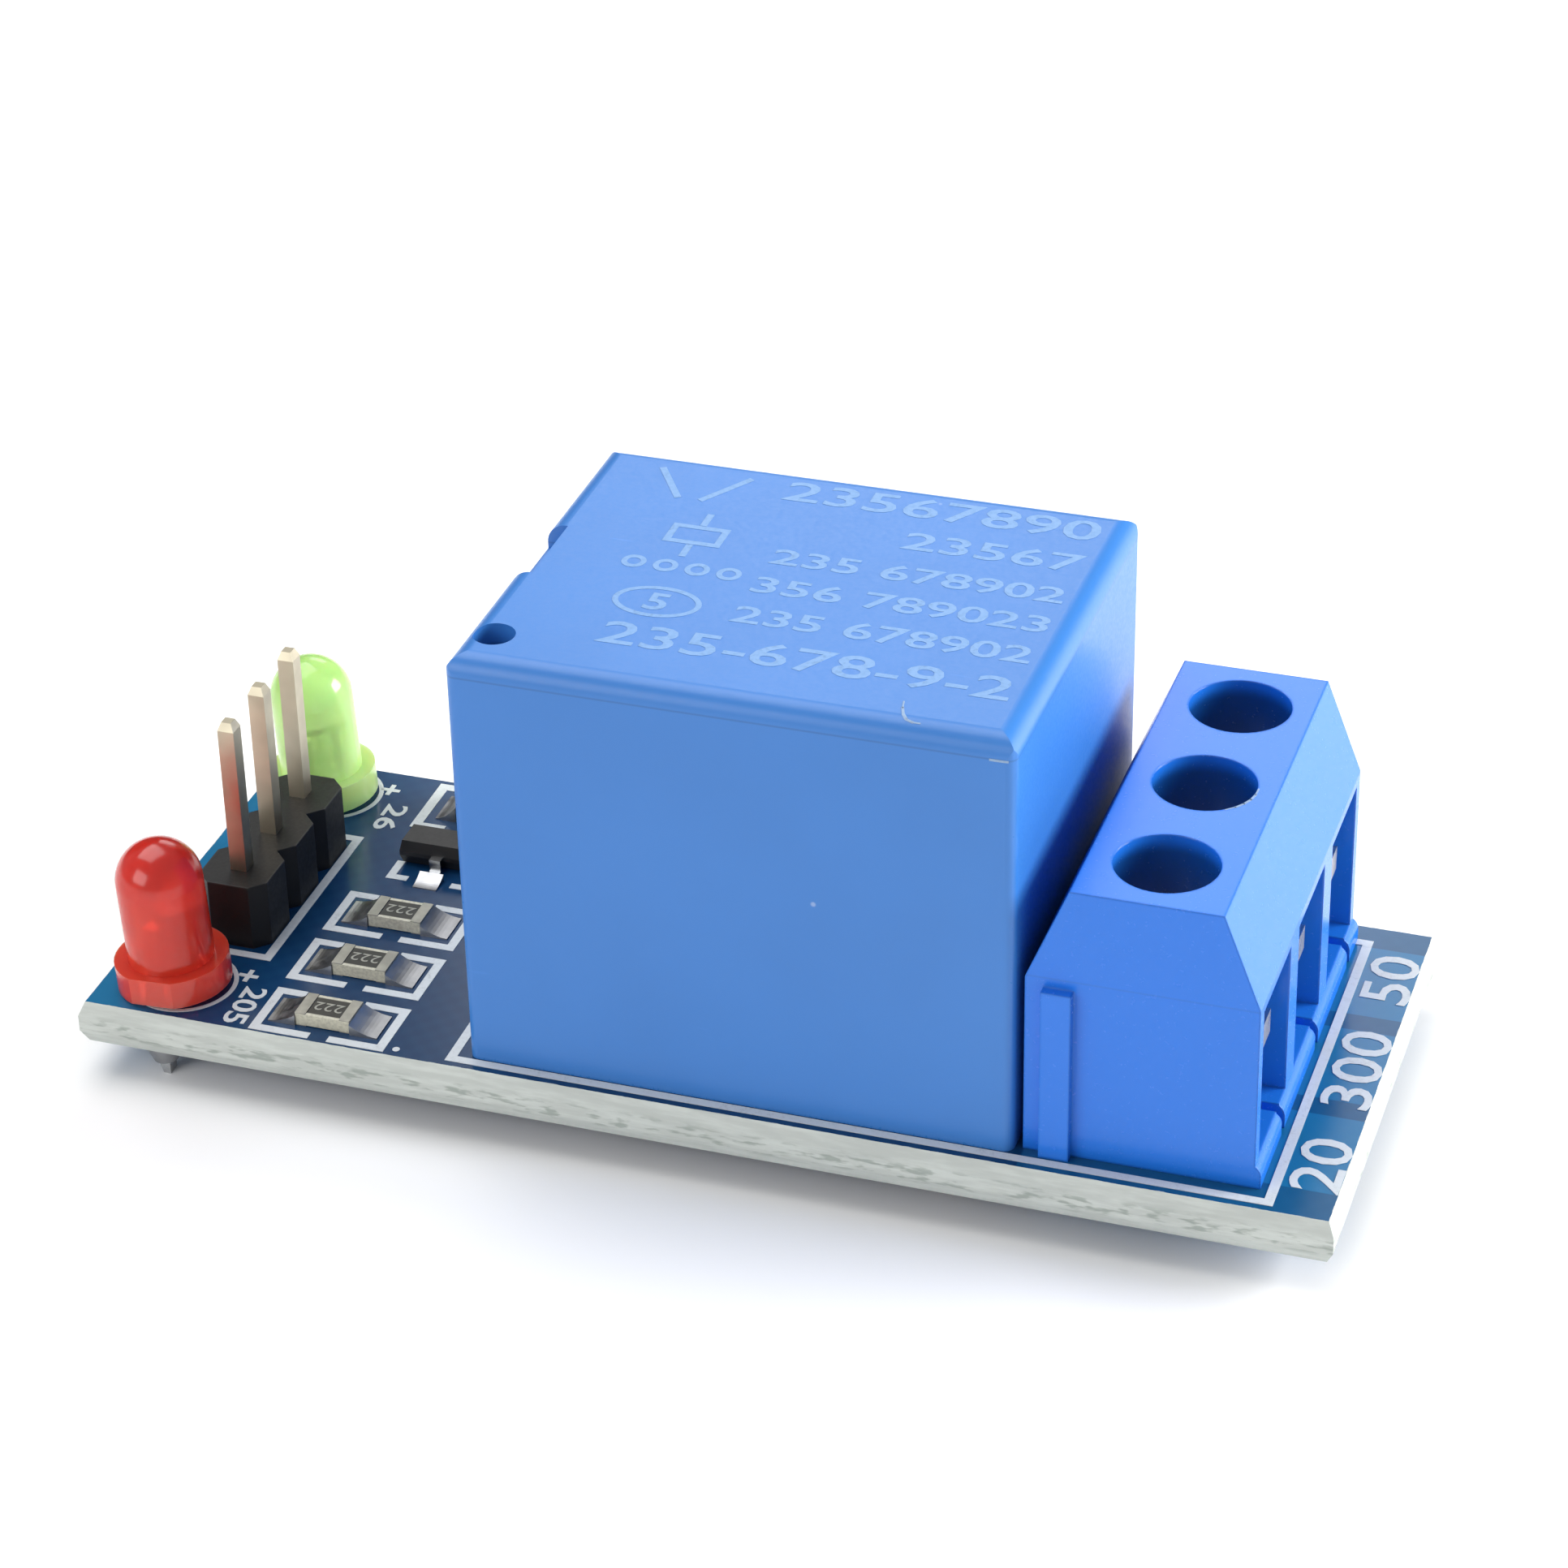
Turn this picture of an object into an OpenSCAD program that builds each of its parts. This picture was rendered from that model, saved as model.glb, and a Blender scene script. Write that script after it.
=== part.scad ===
// One-channel relay module: a printed board that carries a sealed relay,
// a three-pole rising-clamp terminal block, a three-pin header, two lamps
// and a few surface parts.  All sizes in millimetres.
//
// Board frame used by every module: X from the header end towards the
// terminal end, Y from the near long edge, Z up from the board's top face.
// on_board() carries that frame to the part's own origin, which is under
// the board's middle, at the tips of the soldered tails.

/* [Board] */
// Length of the board
board_l = 43.3; // [42.5:0.1:50]
// Width of the board
board_w = 17.0; // [16.6:0.1:24]
// Thickness of the board
board_t = 1.6; // [0.8:0.1:2.4]
// How far the broken middle of the scored edges stands out
score_out = 0.22; // [0.05:0.01:0.3]
// Depth of the score from either face
score_deep = 0.5; // [0.2:0.05:0.7]
// Length of the soldered tails below the board
tail_l = 1.2; // [0.8:0.1:3]
// Diameter of a solder joint where it meets the board
solder_d = 1.42; // [1.36:0.02:1.44]
// Height of a solder joint below the board
solder_h = 0.7; // [0.3:0.05:0.75]

/* [Relay case] */
// Distance from the board's header end to the relay
relay_x = 13.88; // [13.2:0.1:15]
// Distance from the near edge to the relay
relay_y = 0.65; // [0.2:0.05:1.2]
// Length of the relay
relay_l = 18.87; // [18:0.1:22]
// Width of the relay
relay_w = 15.43; // [14.4:0.1:16]
// Height of the relay above the board
relay_h = 15.45; // [14:0.1:20]
// Thickness of the case's walls
case_wall = 1.0; // [0.8:0.05:1.2]
// Rounding of the case's top edges
case_top_r = 0.7; // [0.2:0.05:1]
// Rounding of the case's upright edges
case_side_r = 0.35; // [0.1:0.05:0.8]
// Width of the notch in the top edge at the header end
notch_w = 3.35; // [2:0.05:5]
// Depth of the notch into the end wall
notch_deep = 0.75; // [0.3:0.05:0.78]
// Drop of the notch below the top face
notch_drop = 0.95; // [0.4:0.05:1.5]
// Diameter of the vent hole in the top
vent_d = 1.4; // [0.8:0.1:1.6]
// Distance of the vent hole from the header end of the case
vent_x = 1.05; // [0.9:0.05:1.3]
// Distance of the vent hole from the near side of the case
vent_y = 1.85; // [1.5:0.05:2.5]

/* [Relay works] */
// Thickness of the plug that closes the case from below
base_t = 1.2; // [0.8:0.1:2]
// Height of the plug above the board
base_lift = 0.3; // [0.1:0.05:0.6]
// Thickness of the yoke and of its upright leg
yoke_t = 1.2; // [0.8:0.1:1.5]
// Width of the yoke
yoke_w = 7.6; // [6:0.1:9]
// Diameter of the iron core
core_d = 4.0; // [3:0.1:4.6]
// Diameter of the pole face on top of the core
pole_d = 6.0; // [5:0.1:7.5]
// Thickness of the pole face
pole_t = 0.8; // [0.5:0.1:1.2]
// Length of the bobbin's flanges along the case
coil_l = 8.8; // [7:0.1:9.2]
// Width of the bobbin's flanges across the case
coil_w = 11.2; // [9.6:0.1:11.6]
// Thickness of the bobbin's flanges
flange_t = 0.8; // [0.5:0.1:1.2]
// Thickness of the bobbin's barrel
barrel_t = 0.55; // [0.4:0.05:0.8]
// Thickness of the armature
armature_t = 1.0; // [0.8:0.1:1.3]
// Width of the armature
armature_w = 8.4; // [6:0.1:10]
// Angle by which the armature stands open
armature_open = 3.2; // [2:0.1:3.6]
// Thickness of the contact spring and of the return spring
leaf_t = 0.2; // [0.1:0.02:0.3]
// Width of the contact spring
leaf_w = 3.6; // [3:0.1:5]
// Diameter of the contact rivets' heads
contact_d = 2.2; // [1.6:0.1:2.6]
// Thickness of a contact rivet's head
contact_t = 0.45; // [0.3:0.05:0.55]
// Thickness of the fixed contacts' strip
strip_t = 0.4; // [0.3:0.05:0.5]
// Width of a contact pin
blade_pin_w = 1.0; // [0.7:0.05:1.1]
// Thickness of the coil pins
coil_pin_t = 0.6; // [0.4:0.05:0.65]
// Gap left between contacts that close and between the iron faces
touch_gap = 0.05; // [0.02:0.01:0.1]

/* [Terminal block] */
// Gap between the relay and the terminal block
block_gap = 0.25; // [0.1:0.05:0.6]
// Distance from the near edge to the terminal block
block_y = 1.03; // [0.7:0.05:1.6]
// Depth of the terminal block, from the relay to the wire side
block_l = 7.65; // [7.4:0.05:9]
// Height of the terminal block
block_h = 10.1; // [9.6:0.1:13]
// Distance between two poles
pole_pitch = 5.08; // [5:0.02:5.2]
// Distance from an outer pole to the end face
pole_margin = 2.47; // [2.4:0.01:3]
// Height of the shoulder on the relay side
back_shoulder = 6.7; // [5:0.1:8]
// Inset of the top face on the relay side
back_slope = 1.4; // [0.5:0.1:1.6]
// Height of the shoulder on the wire side
front_shoulder = 6.8; // [6.6:0.1:8]
// Inset of the top face on the wire side
front_slope = 1.3; // [0.5:0.1:1.6]
// Width of each pole's pocket and wire entry
pocket_w = 3.86; // [3.7:0.02:4.1]
// Thickness of the floor under the pockets
floor_t = 0.5; // [0.3:0.05:0.6]
// Thickness of the wall on the relay side
back_wall = 0.9; // [0.6:0.05:1]
// Diameter of the screwdriver holes
driver_d = 3.45; // [3:0.05:3.6]
// Diameter of the screws' heads
head_d = 3.6; // [3.3:0.05:3.8]
// Thickness of the screws' heads
head_t = 0.85; // [0.6:0.05:0.9]
// Depth of the screws' heads below the top face
head_deep = 2.25; // [2.1:0.05:3]
// Diameter of the screws' shanks
screw_d = 2.5; // [2:0.1:2.6]
// Advance of a clamp cage per turn of its screw
screw_pitch = 0.45; // [0.35:0.05:0.5]
// Turns from open to closed
screw_turns = 3; // [1:1:3]
// Height of the current bar's underside
bar_z = 3.6; // [3.5:0.05:4]
// Thickness of the current bar
bar_t = 0.9; // [0.6:0.05:1]
// Width of the current bar
bar_w = 2.3; // [1.6:0.05:2.4]
// Thickness of the bar's leg and of its tail
bar_leg_t = 0.7; // [0.5:0.05:0.75]
// Length of a clamp cage along the wire
cage_l = 4.5; // [3.6:0.1:4.6]
// Thickness of a clamp cage's floor
cage_floor_t = 0.7; // [0.5:0.05:0.8]
// Thickness of a clamp cage's tapped top
cage_top_t = 0.8; // [0.6:0.05:1]
// Thickness of a clamp cage's sides
cage_side_t = 0.5; // [0.4:0.05:0.6]
// Running clearance round a cage, a screw's shank and a head
run_clear = 0.06; // [0.03:0.01:0.1]
// Radial room round a screw's head in its chamber
head_room = 0.12; // [0.1:0.01:0.13]

/* [Pin header] */
// Distance from the board's header end to the pins
header_x = 3.45; // [2:0.05:4]
// Offset of the middle pin from the board's middle line
header_off = -0.05; // [-0.4:0.05:0.4]
// Distance between two pins
header_pitch = 2.54; // [2.4:0.02:2.6]
// Height of the header's plastic
header_h = 2.5; // [2:0.1:3.5]
// Thickness of the square pins
header_pin_t = 0.6; // [0.5:0.02:0.68]
// Height of the pins' tips above the board
header_pin_h = 8.4; // [6:0.1:12]
// Length of the taper at each tip
header_tip = 0.3; // [0.2:0.05:0.8]

/* [Indicator lamps] */
// Distance from the board's header end to the lamps
lamp_x = 2.48; // [2.2:0.02:3]
// Distance of each lamp from its long edge
lamp_inset = 2.0; // [2:0.05:2.2]
// Diameter of the lens
lens_d = 3.0; // [2.8:0.05:3.2]
// Height of the lens
lens_h = 5.5; // [4.6:0.1:7]
// Diameter of the lens's flange
flange_d = 3.96; // [3.6:0.02:3.96]
// Height of the flange
flange_h = 1.0; // [0.6:0.1:1.4]
// Distance of the flange's flat from the lens's middle
flange_flat = 1.82; // [1.6:0.02:1.9]
// Lean of the lamps towards the board's end, in degrees
lamp_lean = 3; // [0:0.5:5]
// Thickness of the lamp's square leads
lead_t = 0.5; // [0.4:0.02:0.55]
// Width left at the tip of a lamp's lead by the cutter
lead_tip = 0.26; // [0.2:0.02:0.4]
// Distance between the lamp's leads
lead_pitch = 2.54; // [2.4:0.02:2.54]

/* [Surface parts] */
// Distance from the board's header end to the middle of the resistors
chip_x = 8.5; // [8:0.05:9]
// Distance from the near edge to the first resistor
chip_y = 1.4; // [1.1:0.05:1.6]
// Distance between two resistors
chip_pitch = 3.18; // [3:0.02:3.3]
// Length of a resistor
chip_l = 2.0; // [1.8:0.05:2.2]
// Width of a resistor
chip_w = 1.25; // [1:0.05:1.4]
// Height of a resistor
chip_h = 0.5; // [0.4:0.02:0.65]
// Length of a resistor's end cap
chip_cap = 0.38; // [0.25:0.02:0.5]
// Thickness of the metal on a resistor's ends
chip_skin = 0.03; // [0.02:0.01:0.05]
// Distance from the near edge to the middle of the transistor
sot_y = 11.85; // [11.7:0.05:12]
// Length of the transistor's body
sot_l = 2.9; // [2.7:0.05:3.1]
// Width of the transistor's body
sot_w = 1.3; // [1.1:0.05:1.4]
// Height of the transistor's top above the board
sot_h = 1.0; // [0.8:0.05:1.2]
// Distance from the board's header end to the middle of the diode
diode_x = 10.4; // [10.2:0.05:10.6]
// Distance from the near edge to the middle of the diode
diode_y = 15.22; // [15.1:0.02:15.3]
// Length of the diode's body
diode_l = 4.3; // [4:0.05:4.5]
// Width of the diode's body
diode_w = 2.6; // [2.4:0.05:2.7]
// Height of the diode's top above the board
diode_h = 2.2; // [1.8:0.05:2.4]

/* [Hidden] */

$fn = 48;
eps = 0.01;
film = 0.02;         // solder stays this far from the hole's plated wall
hole_room = 0.1;     // radial room between a tail's corners and its hole
poles = 3;
pin_count = 3;
chips = 3;

// Relay works: across
case_half_w = relay_w/2 - case_wall;
side_room = 0.1;                                   // room between neighbours across the case
return_x = case_wall + side_room;                  // back of the return spring
yoke_x = return_x + leaf_t;                        // back of the yoke
pivot_x = yoke_x + yoke_t/2;
pin_inset = 0.7;                                   // pins' middles, from the case's side walls
contact_inset = 1.67;                              // contact pins, from the case's end wall
strip_offset = 1.6;                                // contact rivets, from the contact pins
ear_offset = 1.3;                                  // coil pins, from the bobbin's back
ear_half = 0.8;
blade_y = case_half_w - pin_inset;                 // middle of the contact strips' upright legs
contact_pin_x = relay_l - case_wall - contact_inset;
contact_x = contact_pin_x - strip_offset;          // middle of the contact rivets
strip_w = contact_d;
strip_x = contact_x - strip_w/2;
coil_x0 = yoke_x + yoke_t + side_room;             // the bobbin stands against the yoke's leg
coil_x = coil_x0 + coil_l/2;
winding_r = coil_l/2 - side_room;
core_r = core_d/2;
barrel_r = core_r + film + barrel_t;
coil_pin_x = coil_x0 + ear_offset;
coil_pin_y = case_half_w - pin_inset;
wrap_h = 1;                                        // coil pins stand out above the ears
common_pin_x = yoke_x + yoke_t/2;
armature_back = 0.15;                              // armature's back end, from the yoke's back
armature_past = 0.8;                               // armature reaches past the pole face
armature_x1 = coil_x + pole_d/2 + armature_past;
rivet_in = [3, 1.8];                               // from the pivot, and from the free end
rivet_x = [pivot_x + rivet_in[0], armature_x1 - rivet_in[1]];  // bosses hold the contact spring
leaf_back = 0.8;                                   // contact spring starts in front of the pivot
rivet_r = 0.55;
rivet_head_r = 0.82;
rivet_head_t = 0.25;
shank_r = 0.6;                                     // moving contact's shank
return_w = 5;                                      // return spring
return_foot = 3;
return_nose = 0.4;
return_bend = 0.08;
strip_bend = 0.2;                                  // inside radius of the fixed strips
strip_web = 3;                                     // height of the web from strip to pin

// Relay works: upwards.  The winding takes up what the other layers leave.
base_top = base_lift + base_t;
cavity_top = relay_h - case_wall;
roof_room = 0.2;
open_sin = sin(armature_open);
open_cos = cos(armature_open);
tip_reach = contact_x + contact_d/2 - pivot_x;     // pivot to the moving contact's far rim
tip_stack = armature_t + leaf_t + contact_t;       // pivot height to the contact's top, closed
open_rise = tip_reach*open_sin + tip_stack*open_cos;
nc_z = cavity_top - roof_room - strip_t - contact_t;   // face of the upper fixed contact
pivot_z = nc_z - touch_gap - open_rise;
pole_z = pivot_z - touch_gap;                      // top of the pole face and of the yoke
coil_floor = base_top + yoke_t;
winding_z = coil_floor + flange_t;
winding_h = pole_z - pole_t - flange_t - winding_z;
leaf_z = pivot_z + armature_t;                     // contact spring, armature closed
moving_low_z = leaf_z - contact_t;
no_z = moving_low_z - touch_gap;                   // face of the lower fixed contact

// Terminal block
block_x = relay_x + relay_l + block_gap;
block_w = (poles - 1)*pole_pitch + 2*pole_margin;
front_x = block_x + block_l;
pocket_x = block_x + back_wall;
bar_reach = 0.45;                                  // bar's end stays this far inside the mouth
lip = 1.2;                                         // thickness of the wall over the wire entry
cage_x = pocket_x + bar_leg_t + run_clear;
cage_mid_x = cage_x + cage_l/2;
cage_w = pocket_w - 2*run_clear;
cage_drop = 0.1;                                   // open cage stands this far above the floor
cage_z = floor_t + cage_drop;
tip_z = bar_z + bar_t + run_clear;                 // screw's tip, just clear of the bar
cage_top_z = tip_z + cage_drop;                    // underside of the tapped top, cage down
cage_travel = screw_pitch*screw_turns;
cage_h = cage_top_z + cage_top_t - cage_z;
pocket_top = cage_z + cage_h + cage_travel + run_clear;
head_z = block_h - head_deep - head_t;             // underside of the head
bar_tail_w = 0.9;
bar_tail_x = pocket_x + bar_leg_t/2;
mouth_drop = 0.35;                                 // wall left over each wire entry
mouth_top = front_shoulder - mouth_drop;
front_draft = 0.04;                                // wire face leans back by this much
mouth_sill = 0.9;                                  // top of the sill in each wire entry
foot_out = 0.2;                                    // sill stands out past the wire face
foot_r = 0.45;                                     // rounding of the sill's front edge
sill_gap = 0.42;                                   // slot between two lengths of the sill
sill_gap_y = 0.8;                                  // slot's place, past the pole
rib_x = 0.6;                                       // dovetail rib on the near end face
rib_w = 1.0;
rib_out = 0.36;
rib_h = 6.4;
rib_room = 0.02;
slot_w = 0.6;                                      // screwdriver slot
slot_deep = 0.45;

// Lamps: the cathode's anvil and the anode's post inside the lens
lamp_stand = 0.05;                                 // lowest edge of the flange, over the board
lamp_rise = lamp_stand + flange_d/2*sin(lamp_lean);    // middle of the flange, over the board
cut_h = 0.7;                                       // height of the cutter's slope on a lead
lead_off = lead_pitch/2;
jog_z = 0.55;
post_z = 1.05;
anvil_top = 2.7;
post_top = 2.55;
anvil_y = [-1.05, 0.12];
post_y = [0.45, 0.95];
cavity_room = 0.03;

// Surface parts
pad_out = 1.0;                                     // solder reaches this far past a chip
fillet_h = 0.4;
fillet_low = 0.05;
fillet_wide = 0.12;                                // solder is this much wider than its part
sot_fillet = [0.75, 0.25, 0.9];                    // length, height and width
diode_fillet = [0.8, 0.6];                         // length and height
fillet_steps = 8;
sot_band = [0.42, 0.58];                           // upright band round the body, where leads leave
sot_draft = 0.09;
sot_lift = 0.1;
sot_lead_t = 0.12;
sot_lead_w = 0.42;
sot_reach = 0.56;
sot_foot = 0.3;
sot_lead_x = [0, -0.95, 0.95];
sot_lead_side = [-1, 1, 1];
diode_lead_t = 0.2;
diode_lead_w = 1.45;
diode_foot = 0.8;
diode_bend = 0.15;
diode_lead_z = 1.1;
diode_band = [0.6, 1.4];                           // upright band round the body
diode_draft = 0.12;

function pole_y(i) = block_y + pole_margin + i*pole_pitch;
function pin_y(i) = board_w/2 + header_off + (i - 1)*header_pitch;
function chip_mid(i) = chip_y + i*chip_pitch;
function hole_r(a, b) = sqrt(a*a + b*b)/2 + hole_room;

// Soldered tails, each [x, y, size along x, size along y]
tails = concat(
    [for (i = [0:pin_count - 1]) [header_x, pin_y(i), header_pin_t, header_pin_t]],
    [for (m = [lamp_inset, board_w - lamp_inset], s = [-1, 1])
        [lamp_x, m + s*lead_off, lead_t, lead_t]],
    [for (s = [-1, 1]) [relay_x + coil_pin_x, relay_mid(s*coil_pin_y), coil_pin_t, coil_pin_t]],
    [[relay_x + common_pin_x, relay_mid(0), coil_pin_t, blade_pin_w]],
    [for (s = [-1, 1]) [relay_x + contact_pin_x, relay_mid(s*blade_y), blade_pin_w, strip_t]],
    [for (i = [0:poles - 1]) [bar_tail_x, pole_y(i), bar_leg_t, bar_tail_w]]);

function relay_mid(y) = relay_y + relay_w/2 + y;

// ---------------------------------------------------------------- frames

module on_board()
    translate([-board_l/2, -board_w/2, tail_l + board_t]) children();

// Relay frame: x from the case's header end, y from its middle line
module in_relay()
    on_board() translate([relay_x, relay_mid(0), 0]) children();

// The armature and what rides on it, drawn closed and swung open
module on_armature()
    in_relay() translate([pivot_x, 0, pivot_z]) rotate([0, -armature_open, 0])
        translate([-pivot_x, 0, -pivot_z]) children();

// ---------------------------------------------------------------- shapes

module box(size, at) translate(at) cube(size);

// A box by its low corner and its high corner
module span(a, b) translate(a) cube(b - a);

module round_rect(w, h, r) {
    translate([r, 0]) square([w - 2*r, h]);
    translate([0, r]) square([w, h - 2*r]);
    for (x = [r, w - r], y = [r, h - r]) translate([x, y]) circle(r);
}

// Rectangle whose upper corners are round and lower corners square
module round_top(w, h, r) {
    round_rect(w, h, r);
    square([w, h - r]);
}

// A post at a relay-frame place, from the tail's tip up to z
module relay_post(x, y, a, b, z)
    translate([x - a/2, y - b/2, -board_t - tail_l]) cube([a, b, z + board_t + tail_l]);

// ---------------------------------------------------------------- board

// The panel was scored from both faces and snapped, so each edge is a bevel,
// an upright broken web and a second bevel.
module pcb() color("#1d5f8f") on_board() difference() {
    translate([board_l/2, board_w/2, 0])
        moulded(board_l + 2*score_out, board_w + 2*score_out, -board_t,
                [score_deep - board_t, -score_deep], 0, score_out);
    for (t = tails)
        translate([t[0], t[1], -board_t - eps])
            cylinder(r = hole_r(t[2], t[3]), h = board_t + 2*eps);
}

// Solder fills each hole round its tail and stands as a cone below the board
module solder_joints() color("#c9ccd0") on_board()
    for (t = tails) difference() {
        union() {
            translate([t[0], t[1], -board_t - solder_h])
                cylinder(h = solder_h, r1 = hole_r(t[2], t[3]) - film, r2 = solder_d/2);
            translate([t[0], t[1], -board_t - eps])
                cylinder(h = board_t, r = hole_r(t[2], t[3]) - film);
        }
        translate([t[0] - t[2]/2, t[1] - t[3]/2, -board_t - tail_l])
            cube([t[2], t[3], board_t + tail_l + 1]);
    }

// Section of a solder fillet: a concave slope from (0, high) out to (length, low)
function fillet_points(length, high) = concat([[0, 0]],
    [for (k = [0:fillet_steps])
        [length*k/fillet_steps, fillet_low + (high - fillet_low)*pow(1 - k/fillet_steps, 2)]],
    [[length, 0]]);

// Fillet that climbs an upright face at x = 0 and runs out along +x
module fillet(length, high, w)
    translate([0, w/2, 0]) rotate([90, 0, 0]) linear_extrude(w)
        polygon(fillet_points(length, high));

module at_sot_toe(k)
    translate([chip_x + sot_lead_x[k], sot_y + sot_lead_side[k]*(sot_w/2 + sot_reach), 0])
        rotate([0, 0, 90*sot_lead_side[k]]) children();

module chip_solder() color("#d6d8da") on_board() {
    for (i = [0:chips - 1], turn = [0, 180])
        translate([chip_x, chip_mid(i), 0]) rotate([0, 0, turn]) translate([chip_l/2, 0, 0])
            fillet(pad_out, min(fillet_h, chip_h), chip_w + fillet_wide);
    for (k = [0:2]) at_sot_toe(k) fillet(sot_fillet[0], sot_fillet[1], sot_fillet[2]);
    for (turn = [0, 180])
        translate([diode_x, diode_y, 0]) rotate([0, 0, turn])
            translate([diode_l/2 + diode_bend + diode_lead_t, 0, 0])
                fillet(diode_fillet[0], diode_fillet[1], diode_lead_w + fillet_wide);
}

// ---------------------------------------------------------------- relay

module relay_shell() intersection() {
    translate([0, relay_w/2, 0]) rotate([90, 0, 0]) linear_extrude(relay_w)
        round_top(relay_l, relay_h, case_top_r);
    translate([0, -relay_w/2, 0]) rotate([90, 0, 90]) linear_extrude(relay_l)
        round_top(relay_w, relay_h, case_top_r);
    translate([0, -relay_w/2, 0]) linear_extrude(relay_h)
        round_rect(relay_l, relay_w, case_side_r);
}

module relay_case() color("#4f8ad6") in_relay() difference() {
    relay_shell();
    span([case_wall, -case_half_w, -eps], [relay_l - case_wall, case_half_w, cavity_top]);
    span([-eps, -notch_w/2, relay_h - notch_drop], [notch_deep, notch_w/2, relay_h + eps]);
    translate([vent_x, vent_y - relay_w/2, cavity_top - case_wall/2])
        cylinder(d = vent_d, h = 1.5*case_wall + eps);
}

module relay_pins() {
    for (s = [-1, 1]) relay_post(coil_pin_x, s*coil_pin_y, coil_pin_t, coil_pin_t, relay_h);
    relay_post(common_pin_x, 0, coil_pin_t, blade_pin_w, relay_h);
    for (s = [-1, 1]) relay_post(contact_pin_x, s*blade_y, blade_pin_w, strip_t, relay_h);
}

module relay_base() color("#2f5fae") in_relay() difference() {
    span([case_wall, -case_half_w, base_lift], [relay_l - case_wall, case_half_w, base_top]);
    relay_pins();
}

module yoke() color("#9aa0a6") in_relay() {
    span([yoke_x, -yoke_w/2, base_top], [yoke_x + yoke_t, yoke_w/2, pole_z]);
    span([yoke_x, -yoke_w/2, base_top], [coil_x + pole_d/2, yoke_w/2, coil_floor]);
}

module core() color("#b4b8bc") in_relay() translate([coil_x, 0, 0]) {
    translate([0, 0, coil_floor]) cylinder(r = core_r, h = pole_z - coil_floor - pole_t/2);
    translate([0, 0, pole_z - pole_t]) cylinder(d = pole_d, h = pole_t);
}

module bobbin() color("#e8e4d8") in_relay() difference() {
    union() {
        for (z = [coil_floor, winding_z + winding_h])
            span([coil_x0, -coil_w/2, z], [coil_x0 + coil_l, coil_w/2, z + flange_t]);
        translate([coil_x, 0, coil_floor])
            cylinder(r = barrel_r, h = winding_h + 1.5*flange_t);
        // ears that hold the coil pins
        span([coil_pin_x - ear_half, -case_half_w + side_room, coil_floor],
             [coil_pin_x + ear_half, case_half_w - side_room, winding_z]);
    }
    translate([coil_x, 0, coil_floor - eps])
        cylinder(r = core_r + film, h = winding_h + 2*flange_t + 2*eps);
    relay_pins();
}

module winding() color("#a8522a") in_relay() translate([coil_x, 0, winding_z]) difference() {
    cylinder(r = winding_r, h = winding_h);
    translate([0, 0, -eps]) cylinder(r = barrel_r + film, h = winding_h + 2*eps);
}

module armature() color("#8f959b") on_armature() {
    span([yoke_x + armature_back, -armature_w/2, pivot_z], [armature_x1, armature_w/2, leaf_z]);
    for (x = rivet_x) translate([x, 0, leaf_z - eps]) {
        cylinder(r = rivet_r, h = leaf_t + 2*eps);
        translate([0, 0, leaf_t + eps]) cylinder(r = rivet_head_r, h = rivet_head_t);
    }
}

module contact_spring() color("#c8803c") on_armature() difference() {
    union() {
        span([pivot_x + leaf_back, -leaf_w/2, leaf_z], [contact_x, leaf_w/2, leaf_z + leaf_t]);
        translate([contact_x, 0, leaf_z]) cylinder(r = leaf_w/2, h = leaf_t);
    }
    for (x = rivet_x) translate([x, 0, leaf_z - eps]) cylinder(r = rivet_r + film, h = leaf_t + 2*eps);
    translate([contact_x, 0, leaf_z - eps]) cylinder(r = shank_r + film, h = leaf_t + 2*eps);
}

module moving_contact() color("#dcdcd4") on_armature() translate([contact_x, 0, leaf_z]) {
    for (z = [-contact_t, leaf_t]) translate([0, 0, z]) cylinder(d = contact_d, h = contact_t);
    translate([0, 0, -contact_t]) cylinder(r = shank_r, h = leaf_t + 2*contact_t);
}

// Flat strip that turns a corner: a leg up the section's y axis, then an
// arm along +x, with thickness t and inside radius r.
module bent_section(leg, arm, t, r) {
    square([t, leg - t - r]);
    translate([t + r, leg - t - r]) intersection() {
        difference() {
            circle(t + r);
            circle(r);
        }
        translate([-t - r, 0]) square(t + r);
    }
    translate([t + r, leg - t]) square([arm - t - r, t]);
}

module return_spring() color("#c8803c") in_relay() {
    foot = coil_floor + return_foot;
    top = leaf_z + 2*touch_gap + leaf_t;
    translate([return_x, return_w/2, foot]) rotate([90, 0, 0]) linear_extrude(return_w)
        bent_section(top - foot, pivot_x + return_nose - return_x, leaf_t, return_bend);
}

module common_pin() color("#c9ccd0") in_relay()
    relay_post(common_pin_x, 0, coil_pin_t, blade_pin_w, base_top);

module coil_pins() color("#c9ccd0") in_relay()
    for (s = [-1, 1])
        relay_post(coil_pin_x, s*coil_pin_y, coil_pin_t, coil_pin_t, winding_z + wrap_h);

// Fixed contact strip on side s: its arm's top is at z, and its leg is the pin's blade
module fixed_strip(s, z) {
    mirror([0, s > 0 ? 0 : 1, 0])
        translate([strip_x, blade_y + strip_t/2, base_top]) rotate([90, 0, -90]) mirror([0, 0, 1])
            linear_extrude(strip_w)
                bent_section(z - base_top, blade_y + strip_t/2 + contact_d/2, strip_t, strip_bend);
    span([strip_x + strip_w - eps, s*blade_y - strip_t/2, base_top],
         [contact_pin_x + blade_pin_w/2, s*blade_y + strip_t/2, base_top + strip_web]);
    relay_post(contact_pin_x, s*blade_y, blade_pin_w, strip_t, base_top + eps);
}

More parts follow.
